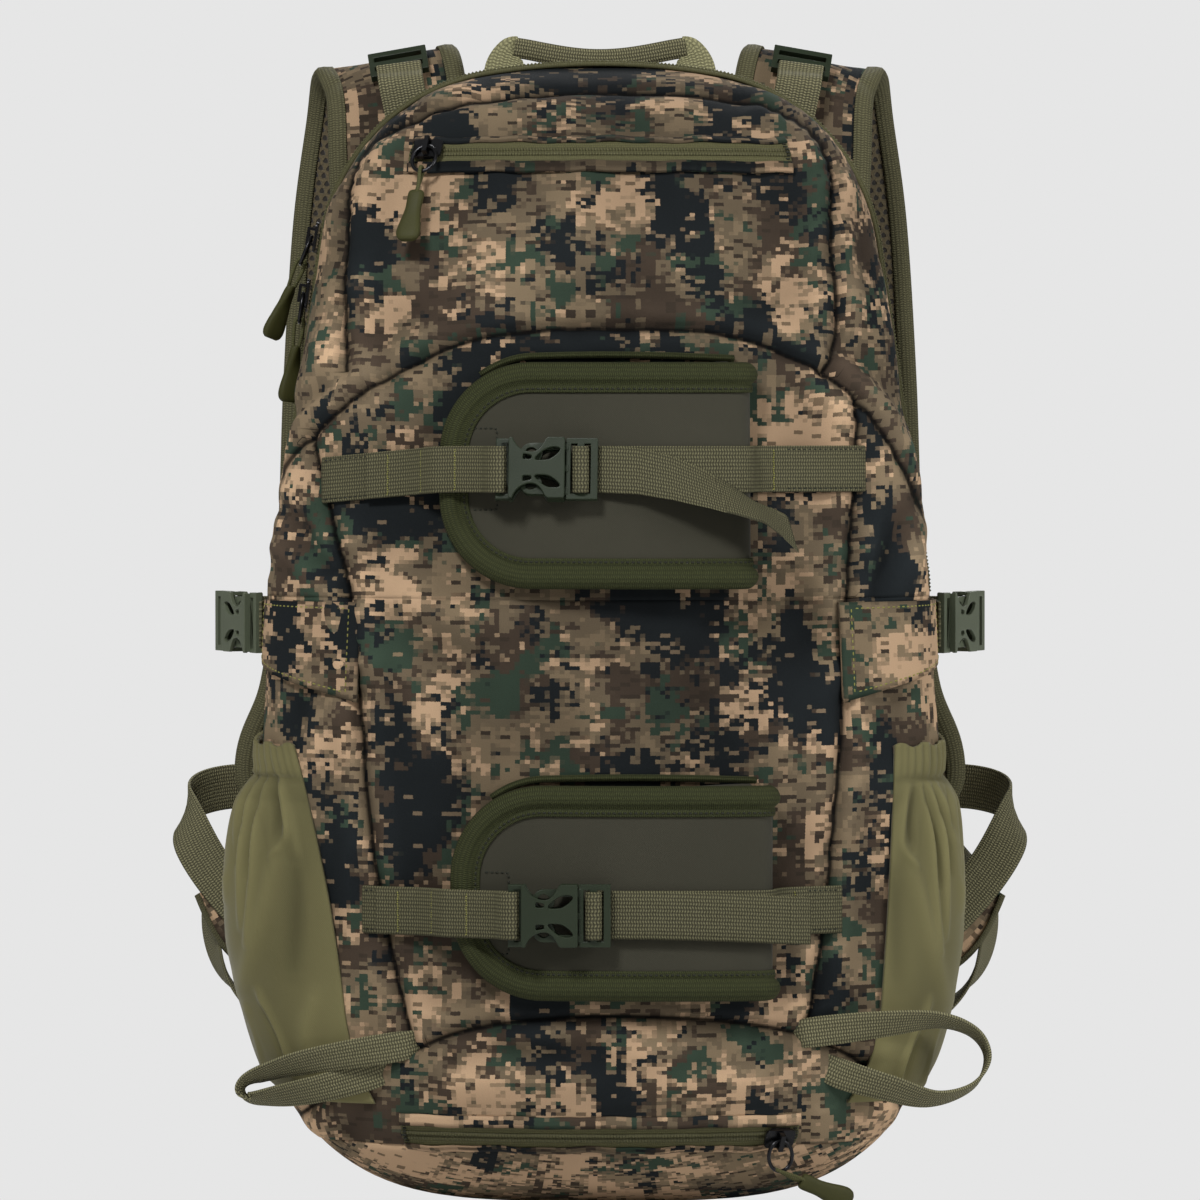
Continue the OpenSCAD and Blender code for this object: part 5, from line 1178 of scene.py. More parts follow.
def flap_binding(name, k, node):
    rings = np.stack([rim(k, i, h) for i, h in TAPE], 1)
    edging = loft(name.replace("flap", "binding"), rings, [i for i, _ in TAPE], binding, None, "binding_tape")
    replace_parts(edging, node)
    place = np.linspace(k.s0 + 16, k.far + 3, 60)
    rise = 1.2 + 2.6 * np.sin(np.linspace(0.15, 0.85, 60) * pi)
    back = tube([on_front(s, k.z + k.half_height(s) + q, FLAP_LOW + 0.3) for s, q in zip(place, rise)], 1.5)
    behind = loft(name.replace("flap", "back_binding"), back, np.arange(10) * 0.95, binding, None, "binding_tape")
    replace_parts(behind, node)
    return edging, behind


def flap_thread(name, k):
    row = rim(k, 10.4, 1.12)
    sewn = [(row, np.array([out_of_front(s) for s in row[:, 0]]))]
    for side in (-1, 1):
        line = resample(np.array([(k.s0 + 14, 17 * side), (k.s0 + 24, 17 * side), (k.s0 + 24, 10 * side)], float), 1.0)
        place = [on_front(s, k.strap_z + h, k.d(s) + FLAP_T / 2 + 0.05) for s, h in line]
        sewn.append((place, [out_of_front(s) for s, _ in line]))
    return stitches(name.replace("flap", "binding_thread"), sewn, thread_dark, None, 1.25, 1.0, 0.42)


def sew_flap(name, k, body, nodes):
    run, half = flap_run(k)
    long = lengths(run, 0)[-1]
    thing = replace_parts(flap_cloth(name, k, run, half), nodes[0])
    edging, behind = flap_binding(name, k, nodes[1])
    for one in (thing, edging, behind, flap_thread(name, k)):
        hang(one, body)
    print(name, "cut", round(long), "by", k.h, "mm")


sew_flap("upper_flap", upper_sling, "lid", ["upper_sling_flap", "upper_sling_binding"])
sew_flap("lower_flap", lower_sling, "pack", ["lower_sling_flap", "lower_sling_binding"])

# %% [markdown]
# Each flap is held by two straps of webbing. The left one is sewn to the bag, climbs onto the flap, turns round the
# socket's bar and comes back. The right one weaves through the ladder of the other buckle half and ends in a loose
# tail, which droops and twists on the upper flap. The runs are loft rings, and the right strap is baked in place and
# tied to no body.

# %% Webbing laid on the front
WEB_EDGE = [(-1, 0), (-0.985, 0.6), (-0.95, 0.95), (-0.5, 1), (0, 1), (0.5, 1), (0.95, 0.95), (0.985, 0.6)]
WEB_PROFILE = np.array(WEB_EDGE + [(-u, -v) for u, v in WEB_EDGE])


def ribbon_rings(run, mid, half, thick, step=1.6, profile=WEB_PROFILE, twist=None):
    """Rings of a ribbon laid over the front: its run in s and d, with its height, half width and twist along it."""
    twist = np.zeros(len(run)) if twist is None else twist
    data = resample(np.column_stack([run, mid, half, twist]), step)
    for _ in range(2):
        data[1:-1] = (data[:-2] + 2 * data[1:-1] + data[2:]) / 4
    way = unit(np.gradient(data[:, :2], axis=0))
    rings = []
    for (s, d, z, h, g), (ws, wd) in zip(data, way):
        rings.append([on_front(s - wd * v * thick / 2, z + u * h * cos(g) - v * thick / 2 * sin(g),
                               d + ws * v * thick / 2 * cos(g) - u * h * sin(g)) for u, v in profile[::-1]])
    return np.array(rings), profile[::-1][:, 0][None, :] * data[:, 3][:, None]


def set_out(run, d):
    p = np.asarray(run, float)
    way = unit(np.gradient(p, axis=0))
    return p + d * np.stack([-way[:, 1], way[:, 0]], -1)


print("webbing", WEB_W, "by", WEB_T, "mm, with", len(WEB_PROFILE), "points round it")

# %% Paths of the straps
STRAP_LOW = LAY * 2 + WEB_T / 2  # how far the middle of a strap lies off the bag
HEM_RINGS = 11  # rings at a tail's end that are folded double


def left_path(k, anchor):
    low, near = STRAP_LOW, lambda t, n: k.near(BAR_W / 2 - SOCKET + t, n)
    climb = k.over(k.s0, 1) + 1.2 + LAY
    lower = [(-anchor - 3, low - 4.5), (-anchor, low - 1), (-anchor + 4, low), (k.s0 - 34, low), (k.s0 - 24, low),
             (k.s0 - 14, low + 0.4), (k.s0 - 7.5, low + (climb - low) * 0.45), (k.s0 - 1, climb + 0.5),
             (k.s0 + 8, climb + 1.6), near(-6, -k.wrap - 1.2), near(-1, -k.wrap)]
    around = [near(BAR_W / 2, -k.wrap), near(BAR_W / 2 + 1.1, -k.wrap * 0.6), near(BAR_W / 2 + 1.4, 0),
              near(BAR_W / 2 + 1.1, k.wrap * 0.6), near(BAR_W / 2, k.wrap), near(-1, k.wrap), near(-3.8, k.wrap - 1.4)]
    upper = set_out(lower[3:-1], WEB_T + LAY * 0.7)
    return np.array(lower + around + upper[::-1].tolist()), upper


def right_path(k, anchor):
    low, end, outer = STRAP_LOW, k.mouth + MALE, MALE - BAR_W - SLOT_W / 2
    step = SLOT_W + BAR_W
    inner, deep = outer - step, -k.wrap - WEB_T - LAY * 0.8
    hug = FOLD_R + FLAP_T / 2 + LAY + WEB_T / 2
    top, span = FLAP_FAR + hug - FOLD_R, k.far - end - 2
    at = lambda t: end + 2 + span * t
    run = [(anchor + 3, low - 4.5), (anchor, low - 1), (anchor - 4, low), (k.far + 26, low), (k.far + 18, low + 0.5),
           (k.far + 12.5, low + 3)]
    run += [(k.far + hug * cos(f), FLAP_LOW + FOLD_R + hug * sin(f)) for f in np.radians([0, 30, 60, 90])]
    run += [(at(t), k.over(at(t), 1)) for t in (0.95, 0.75, 0.5, 0.25)]
    run += [k.near(*q) for q in [
        (MALE, deep), (inner + 3, deep), (inner + 0.9, deep + 0.5), (inner, deep + 2), (inner, k.wrap - 1.6),
        (inner + 0.9, k.wrap - 0.3), (inner + step / 2, k.wrap), (outer - 0.9, k.wrap - 0.3), (outer, k.wrap - 1.6),
        (outer, 1.5 - k.wrap), (outer + 0.9, 0.2 - k.wrap), (MALE, -k.wrap)]]
    run += [(at(t), k.over(at(t), 2) + LAY * 0.6) for t in (0.25, 0.5, 0.75, 0.95)]
    return run + [(k.far + 6, top + 2.2), (k.far + 13, top + 2), (k.far + 20, top + 1)]


print("a tail's hem has", HEM_RINGS, "rings")


# %% Straps of the flaps
def right_strap(name, k, anchor, droop):
    run = right_path(k, anchor)
    tail = len(run) - 7
    hang_by = [min(1, max(0, (q[0] - k.mouth - MALE - 6) / 68)) if i >= tail else 0 for i, q in enumerate(run)]
    mid = [k.strap_z - droop * t ** 1.8 for t in hang_by]
    edge_on = lambda t: radians(66) * min(1, t * 1.25) ** 1.3 - radians(26) * max(0, t - 0.8) / 0.2
    twist = [edge_on(t) if droop > 9 else 0 for t in hang_by]
    run = [(s, d + k.half * 0.95 * sin(g)) for (s, d), g in zip(run, twist)]
    rings, across = ribbon_rings(np.array(run), mid, np.full(len(run), k.half), WEB_T, 0.8, twist=twist)
    sides = np.sign(WEB_PROFILE[::-1, 1])
    hem = rings[-HEM_RINGS:, sides > 0].mean(1) - rings[-HEM_RINGS:, sides < 0].mean(1)
    rings[-HEM_RINGS:] += hem[:, None] / WEB_T * sides[None, :, None] * 0.7
    return loft(name + "_right", rings, across, webbing, None, "webbing")


def sew_straps(name, k, body, anchor_left, anchor_right, fall, droop, nodes):
    height = lambda s: k.strap_z - fall * np.clip((k.s0 + 2 - s) / (k.s0 + 2 + anchor_left), 0, 1)
    run, upper = left_path(k, anchor_left)
    rings, across = ribbon_rings(run, height(run[:, 0]), np.full(len(run), k.half), WEB_T, 0.8)
    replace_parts(loft(name + "_left", rings, across, webbing, body, "webbing"), nodes[0])
    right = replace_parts(right_strap(name, k, anchor_right, droop), nodes[1])
    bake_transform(right)
    bars = [(s, np.interp(s, upper[:, 0], upper[:, 1]) + WEB_T / 2) for s in (k.s0 - 24, k.s0 - 8, k.s0 + 8)]
    bars += [(k.far + 20, STRAP_LOW + 0.5 + WEB_T / 2)]
    line, zigzag = np.linspace(-8.8, 8.8, 30), 0.55 * np.where(np.arange(30) % 2, 1, -1)
    tacks = [([on_front(s + q, height(s) + v, d) for v, q in zip(line, zigzag)], [out_of_front(s)] * 30)
             for s, d in bars]
    rows = []
    for v in (-8.2, 8.2):
        for a, b in ((-anchor_left + 1, k.s0 - 30), (k.far + 26, anchor_right - 1)):
            line = np.linspace(a, b, 30)
            place = [on_front(s, height(s) + v, STRAP_LOW + WEB_T / 2) for s in line]
            rows.append((place, [out_of_front(s) for s in line]))
    stitches(name + "_rows", rows, thread_dark, body, 1.5, 0.9, 0.3)
    stitches(name + "_thread", tacks, thread_light, body, 1.5, 0.5, 0.3)
    print(name, "with", len(bars), "bar tacks and", len(rows), "rows of thread")


sew_straps("upper_strap", upper_sling, "lid", 122, 116, 5, 27, ["upper_sling_strap_left", "upper_sling_strap_right"])
sew_straps("lower_strap", lower_sling, "pack", 102, 104, 0, 3, ["lower_sling_strap_left", "lower_sling_strap_right"])

# %% [markdown]
# A zip is a woven tape with a nylon coil on it. The front and bottom zips lie across the front between two lips of
# cloth, the main one runs over the sides and top. The coil could be a real helix, but it would take a great many faces
# for something a millimetre high. A rounded ridge that rises and falls once a turn looks the same.


# %% Zips across the front
def zip_frame(z, angle):
    """Where a zip across the front is at an angle round the bowed front, with its own z out of the cloth."""
    axis = ZIP_Y - front_depth(z) + FRONT_R
    return (Matrix.Translation((0, axis, z)) @ Matrix.Rotation(radians(angle), 4, "Z")
            @ Matrix.Translation((0, -FRONT_R, 0)) @ Matrix.Rotation(pi / 2 + front_tilt(z), 4, "X"))


def coil_ring(k, half, top, low, y0=0.0):
    beat = 0.5 + 0.5 * sin(k * pi / 2)
    ring = []
    for f in np.linspace(0, pi, 15):
        y = half * cos(f)
        ring.append((y0 + y, low + (top - low) * sin(f) ** 0.6 * (0.8 + 0.2 * beat) - 1.5 * np.exp(-(y / 0.42) ** 2)))
    return ring


def zip_lips(name, z, angles, sink, body):
    lip = [(9.6, 0.2), (8.6, 1.0), (7, 2.0), (5.6, 2.5), (4.9, 2.3), (4.8, 1.9), (5.6, 1.7), (8, 0.2)]
    run = np.radians(angles) * FRONT_R
    for side in (-1, 1):
        wavy = 0.35 * np.sin(run / 7 + side) + 0.25 * np.sin(run / 3.1)
        rings = [[tuple(zip_frame(z, a) @ Vector((0, side * (y + q), d - sink + q * 0.4))) for y, d in lip[::side]]
                 for a, q in zip(angles, wavy)]
        upright = np.repeat([[z + side * y for y, _ in lip[::side]]], len(angles), 0)
        maps = np.stack([np.repeat(run[:, None], 8, 1), upright], -1) + (90, 70)
        # Painted shadow along the lip's rolled edge, where it tucks over the zip.
        edge = np.zeros((len(angles), 8))
        edge[:, [3, 4, 5]] = 0.45
        piece(f"{name}_lip_{'low' if side < 0 else 'top'}", np.array(rings).reshape(-1, 3), ring_faces(len(angles), 8),
              maps.reshape(-1, 2), camo, body, "camo_cloth", seam=edge)


def zip_tacks(name, z, reach, sink, body):
    ends = []
    for a in (-reach + 0.4, reach - 0.4):
        m = zip_frame(z, a)
        for dx in (-0.5, 0, 0.5):
            line = [(dx, y, (1.82 if abs(y) > 2.6 else 3.35) - sink) for y in np.linspace(-5.5, 5.5, 26)]
            ends.append(([tuple(m @ Vector(q)) for q in line], [tuple(m.to_3x3() @ Vector((0, 0, 1)))] * 26))
    stitches(name + "_tacks", ends, thread_dark, body, 1.6, 0.1, 0.4)


def face_zip(name, z, reach, sink, body, node):
    tape = [(0, 0.6), (6, 0.6), (6, 1.3), (5.4, 1.6), (3, 1.75), (0, 1.75), (-3, 1.75),
            (-5.4, 1.6), (-6, 1.3), (-6, 0.6)]
    angles = np.linspace(-reach, reach, 160)
    rings = [[tuple(zip_frame(z, a) @ Vector((0, y, d - sink))) for y, d in tape] for a in angles]
    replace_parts(loft(name + "_tape", rings, [y for y, _ in tape], zip_tape, body, "zip_tape"), node)
    steps = int(2 * radians(reach) * FRONT_R / 0.33)
    rings = []
    for k in range(steps + 1):
        m = zip_frame(z, -reach + 2 * reach * k / steps)
        rings.append([tuple(m @ Vector((0, y, d - sink))) for y, d in coil_ring(k, 2.0, 2.9, 1.7)])
    loft(name + "_coil", rings, [y for y, _ in coil_ring(0, 2.0, 2.9, 1.7)], coil, body, "zip_tape")
    zip_lips(name, z, angles, sink, body)
    zip_tacks(name, z, reach, sink, body)
    print(name, round(2 * radians(reach) * FRONT_R), "mm long,", steps // 4, "turns of the coil")


FRONT_ZIP_Z, BOTTOM_ZIP_Z = 446, 34
face_zip("front_zip", FRONT_ZIP_Z, 20.5, 0.4, "lid", "front_zip")
face_zip("bottom_zip", BOTTOM_ZIP_Z, 21, 0.0, "pack", "bottom_zip")


# %% Main zip
def outline(count):
    """The main zip's run over the sides and top: x, z and the way out."""
    half = []
    for z in np.linspace(LID_Z + 0.3, CORNER_LO, count):
        half.append((half_width(z), z, 1, 0) if z < SPRING_Z else (half_width(z), z, cos(LEAN), sin(LEAN)))
    for f in np.linspace(LEAN, CORNER_END, count)[1:]:
        half.append((CORNER_X + CORNER_R * cos(f), CORNER_Z + CORNER_R * sin(f), cos(f), sin(f)))
    for f in np.linspace(CORNER_END, pi / 2, count // 2)[1:]:
        half.append((TOP_R * cos(f), BAG_H - TOP_R + TOP_R * sin(f), cos(f), sin(f)))
    return np.array(half + [(-x, z, -a, b) for x, z, a, b in half[-2::-1]])


def main_zip(name, way, node):
    ring = lambda p, y, d: (p[0] + d * p[2], ZIP_Y + way * y, p[1] + d * p[3])
    tape = [(0.3, 0.1), (0.3, 1.75), (4, 1.75), (7.5, 1.8), (8, 1.5), (8, 0.1)][::way]
    rings = [[ring(p, y, d) for y, d in tape] for p in resample(outline(60), 2.2)]
    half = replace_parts(loft(name + "_tape", rings, [y for y, _ in tape], zip_tape, None, "zip_tape"), node)
    teeth = []
    for k, p in enumerate(resample(outline(60), 0.4)):
        high = 0.85 + 0.15 * sin(k * pi / 2)
        shape = [(0.2, 1.75), (0.2, 1.0 + 2.2 * high), (1.1, 1.0 + 2.3 * high), (1.9, 1.0 + 2.0 * high), (2.3, 1.75)]
        teeth.append([ring(p, y, d) for y, d in shape[::way]])
    turns = loft(name + "_coil", teeth, [0.2, 0.2, 1.1, 1.9, 2.3][::way], zip_tape, None, "zip_tape")
    for one in (half, turns):
        hang(one, "lid" if way < 0 else "pack")
    print(name, len(teeth), "rings of coil")


main_zip("main_zip_front", -1, "main_zip_front")
main_zip("main_zip_rear", 1, "main_zip_rear")

# %% [markdown]
# Each slider carries a pull: a wire ring in the slider's bridge, a loop of cord round the ring, and a soft rubber tab
# moulded on the cord's ends, so that it can be worked with gloves. The CAD pull is one plain solid. Here the three are
# made apart, as they look, and all ride on the pull's own body so that they swing together. The tab is a loft of
# rounded rings with a slight twist.


# %% Pulls
def hoop(name, points, radius, finish, body, slot, sides=10):
    rings = tube(points, radius, sides, True)
    n = len(rings)
    faces = []
    for i in range(n):
        for j in range(sides):
            k, q = (j + 1) % sides, (i + 1) % n
            faces.append((i * sides + j, i * sides + k, q * sides + k, q * sides + j))
    maps = np.stack([np.repeat(lengths(np.asarray(points, float), 0), sides), np.tile(np.arange(sides), n)], -1)
    return piece(name, rings.reshape(-1, 3), faces, maps, finish, body, slot)


TAB = [(-10.2, 4.4, 2.2), (-10.6, 6.2, 3.4), (-12, 7.0, 4.2), (-15, 6.9, 4.2), (-19, 6.8, 3.9), (-23.5, 8.0, 4.0),
       (-28, 9.8, 4.4), (-31.5, 10.4, 4.5), (-33.8, 9.0, 3.9), (-35, 6.0, 2.6)]  # place along it, width, thickness
TAB_SIDES, LOOP_R, RING_W, RING_H = 24, 1.9, 5.2, 6.4


def pull_tab(name, turned, node, twist):
    rings = []
    for y, w, t in smooth_run(TAB, 4):
        g = radians(twist) * min(1, max(0, (-10 - y) / 12))
        ring = []
        for f in np.arange(TAB_SIDES) * 2 * pi / TAB_SIDES:
            c, q = cos(f), sin(f)
            a, b = w / 2 * np.sign(c) * abs(c) ** 0.75, t / 2 * np.sign(q) * abs(q) ** 0.75
            ring.append(tuple(turned @ Vector((a * cos(g) - b * sin(g), y, a * sin(g) + b * cos(g)))))
        rings.append(ring)
    return loft(name + "_tab", rings, [0] * TAB_SIDES, rubber, node, "rubber_pull")


def pull(name, place, bend, node, twist=0.0):
    put = lambda line, m: [tuple(m @ Vector(q)) for q in line]
    ring = [(RING_W * cos(f), -RING_H + RING_H * sin(f), 0) for f in np.arange(40) * pi / 20]
    hoop(name + "_ring", put(ring, place), 0.85, metal, node, "black_metal")
    turned = place @ Matrix.Translation((0, -2 * RING_H, 0)) @ Matrix.Rotation(radians(bend), 4, "Z")
    line = [(0.5, -13, 1.0), (0.7, -8, 1.5), (0.3, -3, LOOP_R)]
    line += [(0, LOOP_R * sin(f), LOOP_R * cos(f)) for f in np.linspace(0, pi, 12)]
    line += [(-0.3, -3, -LOOP_R), (-0.7, -8, -1.5), (-0.5, -13, -1.0)]
    loft(name + "_cord", tube(put(smooth_run(line, 4), turned), 0.8), [0] * 10, cord_olive, node, "rubber_pull")
    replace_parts(pull_tab(name, turned, node, twist), node)
    print(name, "hangs at", [round(q, 1) for q in turned.translation])


PULL_D = 3.3 + LAY + 1.2 + LAY + 0.75  # how far the ring's middle lies off the zip
turn = lambda deg, axis: Matrix.Rotation(radians(deg), 4, axis)
lift = Matrix.Translation((0, 0, PULL_D))
pull("front_pull", zip_frame(FRONT_ZIP_Z, -18.3) @ lift @ turn(3, "X"), 0, "front_pull")
pull("bottom_pull", zip_frame(BOTTOM_ZIP_Z, 18.8) @ lift @ turn(-28, "X"), 66, "bottom_pull")
low_z = CORNER_LO - 23
side = Matrix.Translation((-half_width(low_z), ZIP_Y, low_z)) @ turn(degrees(LEAN) - 90, "Y") @ turn(180, "Z")
pull("main_pull_lower", side @ lift @ turn(90, "Z"), 0, "main_pull_lower", 58)
shoulder = (Matrix.Translation((-CORNER_X, ZIP_Y, CORNER_Z)) @ turn(degrees(LEAN) + 1 - 90, "Y")
            @ Matrix.Translation((0, 0, CORNER_R)) @ turn(180, "Z"))
pull("main_pull_upper", shoulder @ lift @ turn(-13, "Y") @ turn(90, "Z"), 0, "main_pull_upper", 50)

# %% [markdown]
# Compression straps draw in the bag's sides. A cloth tab in the bag's print is sewn to the front, short webbing goes
# from it to the socket, and more webbing from the other buckle half to the back. The tab is a thin closed shell laid
# on the front's own sections, so that it follows the corner. The rear webbing is baked in place and tied to no body.


# %% Tabs of the compression straps
def strip_rings(stations, thick, profile=WEB_PROFILE, steps=8):
    """Rings along stations of place, way across and width, as the CAD strips are laid."""
    s = smooth_run(stations, steps)
    at = s[:, :3]
    along = unit(np.gradient(at, axis=0))
    wide = s[:, 3:6] - (s[:, 3:6] * along).sum(1, keepdims=True) * along
    wide /= np.linalg.norm(wide, axis=1, keepdims=True)
    up = np.cross(along, wide)
    u, v = profile[:, 0], profile[:, 1]
    rings = (at[:, None] + wide[:, None] * (u[None, :, None] * s[:, 6][:, None, None] / 2)
             + up[:, None] * (v[None, :, None] * thick / 2))
    return rings, u[None, :] * s[:, 6][:, None] / 2, (at, along, wide, up)


COMP_Z, COMP_Y, COMP_TURN = 245.5, -17.0, radians(27)
COMP_X = half_width(COMP_Z) + 5.4
TAB_ROWS, TAB_COLS = 16, 46


def tab_ground():
    grid, out = np.zeros((TAB_ROWS, TAB_COLS, 3)), np.zeros((TAB_ROWS, TAB_COLS, 3))
    for i, v in enumerate(np.linspace(0, 1, TAB_ROWS)):
        for j, t in enumerate(np.linspace(0, 1, TAB_COLS)):
            low = COMP_Z - 11 - 20 * (1 - t)
            z = low + (COMP_Z + 11 - low) * v
            f = front_section(z, (30, 30, 60))[120:]
            at = lengths(f, 0)
            want = at[48] + (at[90] + 16 - at[48]) * t
            x, y = np.interp(want, at, f[:, 0]), np.interp(want, at, f[:, 1])
            x2, y2 = np.interp(want + 0.5, at, f[:, 0]), np.interp(want + 0.5, at, f[:, 1])
            way_out = np.array([y2 - y, -(x2 - x), 0.0])
            grid[i, j], out[i, j] = (x, ZIP_Y + y, z), way_out / np.linalg.norm(way_out)
    return grid, out


def compression_tab(side_name, way):
    grid, out = tab_ground()
    sign = np.array([way, 1, 1])
    bulge = 0.5 * np.sin(np.linspace(0, pi, TAB_COLS))[None, :, None]
    top, under = grid + out * (LAY + WEB_T + bulge), grid + out * (LAY + bulge * 0.6)
    loops = np.concatenate([top, under[:, ::-1]], 1)
    maps = np.stack([lengths(loops, 1), loops[..., 2] + 350], -1) + (300 * way, 0)
    # Painted shade along the tab's sewn edges.
    painted_shade = np.zeros(loops.shape[:2])
    painted_shade[:, [0, TAB_COLS - 1]] = painted_shade[[0, -1]] = 0.35
    faces = [f[::-way] for f in shell_faces(TAB_ROWS, loops.shape[1])]
    tab = piece(side_name + "_tab_cloth", (loops * sign).reshape(-1, 3), faces, maps.reshape(-1, 2), camo, "pack",
                "camo_cloth", seam=painted_shade)
    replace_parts(tab, side_name + "_compression_tab")
    sewn = [(top[1:-1, j] * sign, out[1:-1, j] * sign) for j in (3, 34, 38, 42)]
    sewn += [(top[i, 4:44] * sign, out[i, 4:44] * sign) for i in (1, 14)]
    stitches(side_name + "_tab_thread", sewn, thread_light, "pack", 1.7, 0.9, 0.3)
    print(side_name, "tab", round(lengths(grid[0], 0)[-1]), "mm long")


SIDES = (("right", 1), ("left", -1))
print("socket of a side buckle starts at", round(COMP_X, 1), COMP_Y, COMP_Z)


# %% Webbing of the compression straps
def mirrored_strip(name, stations, way, steps, finish):
    """Webbing through stations that are given for the right side. way is -1 for the left side."""
    rings, across, _ = strip_rings(stations, WEB_T, steps=steps)
    return loft(name, (rings * (way, 1, 1))[:, ::way], across[:, ::way], finish, None, "webbing")


def metres(way, x, y, z=0.0):
    return (way * x * 0.001, y * 0.001, z * 0.001)


def compression_webs(side_name, way):
    along, aside = np.array([sin(COMP_TURN), cos(COMP_TURN)]), np.array([cos(COMP_TURN), -sin(COMP_TURN)])
    origin = np.array([COMP_X, COMP_Y])
    bar = origin + along * (BAR_W + SLOT_W / 2)
    tail = origin + along * (SOCKET + MALE - BAR_W - SLOT_W / 2)
    off, a = BAR_T / 2 + LAY + WEB_T / 2, half_width(COMP_Z)
    start = a + LAY * 3 + WEB_T * 1.5
    bend_at = np.array([a - 30, ZIP_Y + 58 - 30 - (REAR_R - sqrt((REAR_R - 30) ** 2 - (a - 30) ** 2) - 30)])
    back = lambda f: bend_at + (30 + LAY * 2 + WEB_T / 2) * np.array([cos(radians(f)), sin(radians(f))])
    first = [(start, COMP_Y - 24), (start, COMP_Y - 12), (start - 0.3, COMP_Y - 6), (start - 0.5, COMP_Y - 2),
             bar - along * 2.8 - aside * (off + 0.45), bar - along * 0.9 - aside * (off - 0.1), bar - aside * 1.5, bar]
    second = [tail, tail - aside * 1.5, tail + along * 0.9 - aside * (off - 0.3), tail + along * 2.8 - aside * off,
              tail + along * 8 - aside * (off + 1), tail + along * 16 - aside * 9, back(26) + (3, -1),
              back(40), back(58)]
    for label, run in (("front", first), ("back", second)):
        stations = [(p[0], p[1], COMP_Z, 0, 0, 1, WEB_W) for p in run]
        strap = mirrored_strip(f"{side_name}_compression_web_{label}", stations, way, 6, webbing)
        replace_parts(strap, side_name + "_compression_webbing")
        if label == "front":
            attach(strap, "pack")
        else:
            metres(way, *back(46))
            metres(way, *(tail + along * 5))
            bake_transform(strap)
        print(strap.name, len(strap.data.vertices), "points")


for side_name, way in SIDES:
    compression_tab(side_name, way)
    compression_webs(side_name, way)

# %% [markdown]
# The shoulder straps and belt wings are flat foam pads, faced with the print outside and net inside, with a tape bound
# round the edge. A scaled cube would have hard corners. So a rounded profile is swept along stations that give each
# place, the way across and the width, and the tape is a second sweep along each edge.


# %% Padded profile
def edge_height(u):
    return 0.3 + 0.7 * (1 - abs(u) ** 3.2)


over_width = np.linspace(-1, 1, 21)
PAD_PROFILE = np.array([(u, edge_height(u)) for u in over_width] + [(u, -edge_height(u)) for u in over_width[::-1]])
print("edge of a pad is", round(edge_height(1.0), 2), "of its thickness")


# %% Pads with bound edges
def pad_binding(name, rim, wide_way, up, thick, way, edge):
    half = thick / 2 * 0.3 + 1.2
    shape = np.array([(-8, half + 1.5), (-7.6, half + 2.2), (-4, half + 1.9), (-1.2, half + 0.8), (0, half * 0.55),
                      (0.4, 0), (0, -half * 0.55), (-1.2, -half - 0.8), (-4, -half - 1.9), (-7.6, -half - 2.2),
                      (-8, -half - 1.5), (-3, 0)]) * (edge, 1)
    for side_name, k in (("in", -1), ("out", 1)):
        tape = rim[k][:, None] + wide_way[:, None] * (k * shape[:, 0])[None, :, None]
        tape = (tape + up[:, None] * shape[:, 1][None, :, None] * 0.8) * (way, 1, 1)
        across = [-8, -8, -5, -2, 0, 1, 2, 4, 7, 10, 10, 5][::-k * way]
        loft(f"{name}_binding_{side_name}", tape[:, ::-k * way], across, edge_tape, "pack", "binding_tape")


def padded_strip(name, stations, thick, way, node, shift, outer_side, edge=1.0):
    stations = np.array(stations, float)
    width = smooth_run(stations, 10)[:, 6]
    stations[:, 6] -= 2
    rings, across, (at, _, wide_way, up) = strip_rings(stations, thick - 1.2, PAD_PROFILE, 10)
    n, m = rings.shape[:2]
    flow = lengths(at, 0)
    ripple = 0.4 * np.sin(flow / 9.0)[:, None] * np.abs(PAD_PROFILE[:, 0])[None, :] ** 4
    swell = rough_cloth(rings, 30, shift) * 0.5 + ripple
    rings = rings + up[:, None] * (np.sign(PAD_PROFILE[:, 1])[None, :, None] * (swell - 0.5)[..., None])
    faces = [f[::way] for f in ring_faces(n, m)]
    maps = np.stack([across, np.repeat(flow[:, None], m, 1)], -1).reshape(-1, 2) + shift * 71
    # Painted shade along the edges, under the bound tape.
    painted_shade = np.repeat((np.abs(PAD_PROFILE[:, 0]) > 0.93)[None, :] * 0.5, n, 0)
    pad = piece(name, (rings * (way, 1, 1)).reshape(-1, 3), faces, maps, [camo, spacer], "pack",
                "camo_cloth", seam=painted_shade)
    if outer_side:
        side_of = PAD_PROFILE[:, 1] * outer_side
        net_side = [1 if side_of[i % m] < 0 and side_of[j % m] < 0 else 0 for i, j, *_ in faces]
        pad.data.polygons.foreach_set("material_index", net_side)
    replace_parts(pad, node)
    rim = {k: at + wide_way * (k * width / 2)[:, None] for k in (-1, 1)}
    pad_binding(name, rim, wide_way, up, thick, way, edge)
    print(name, round(flow[-1]), "mm long")


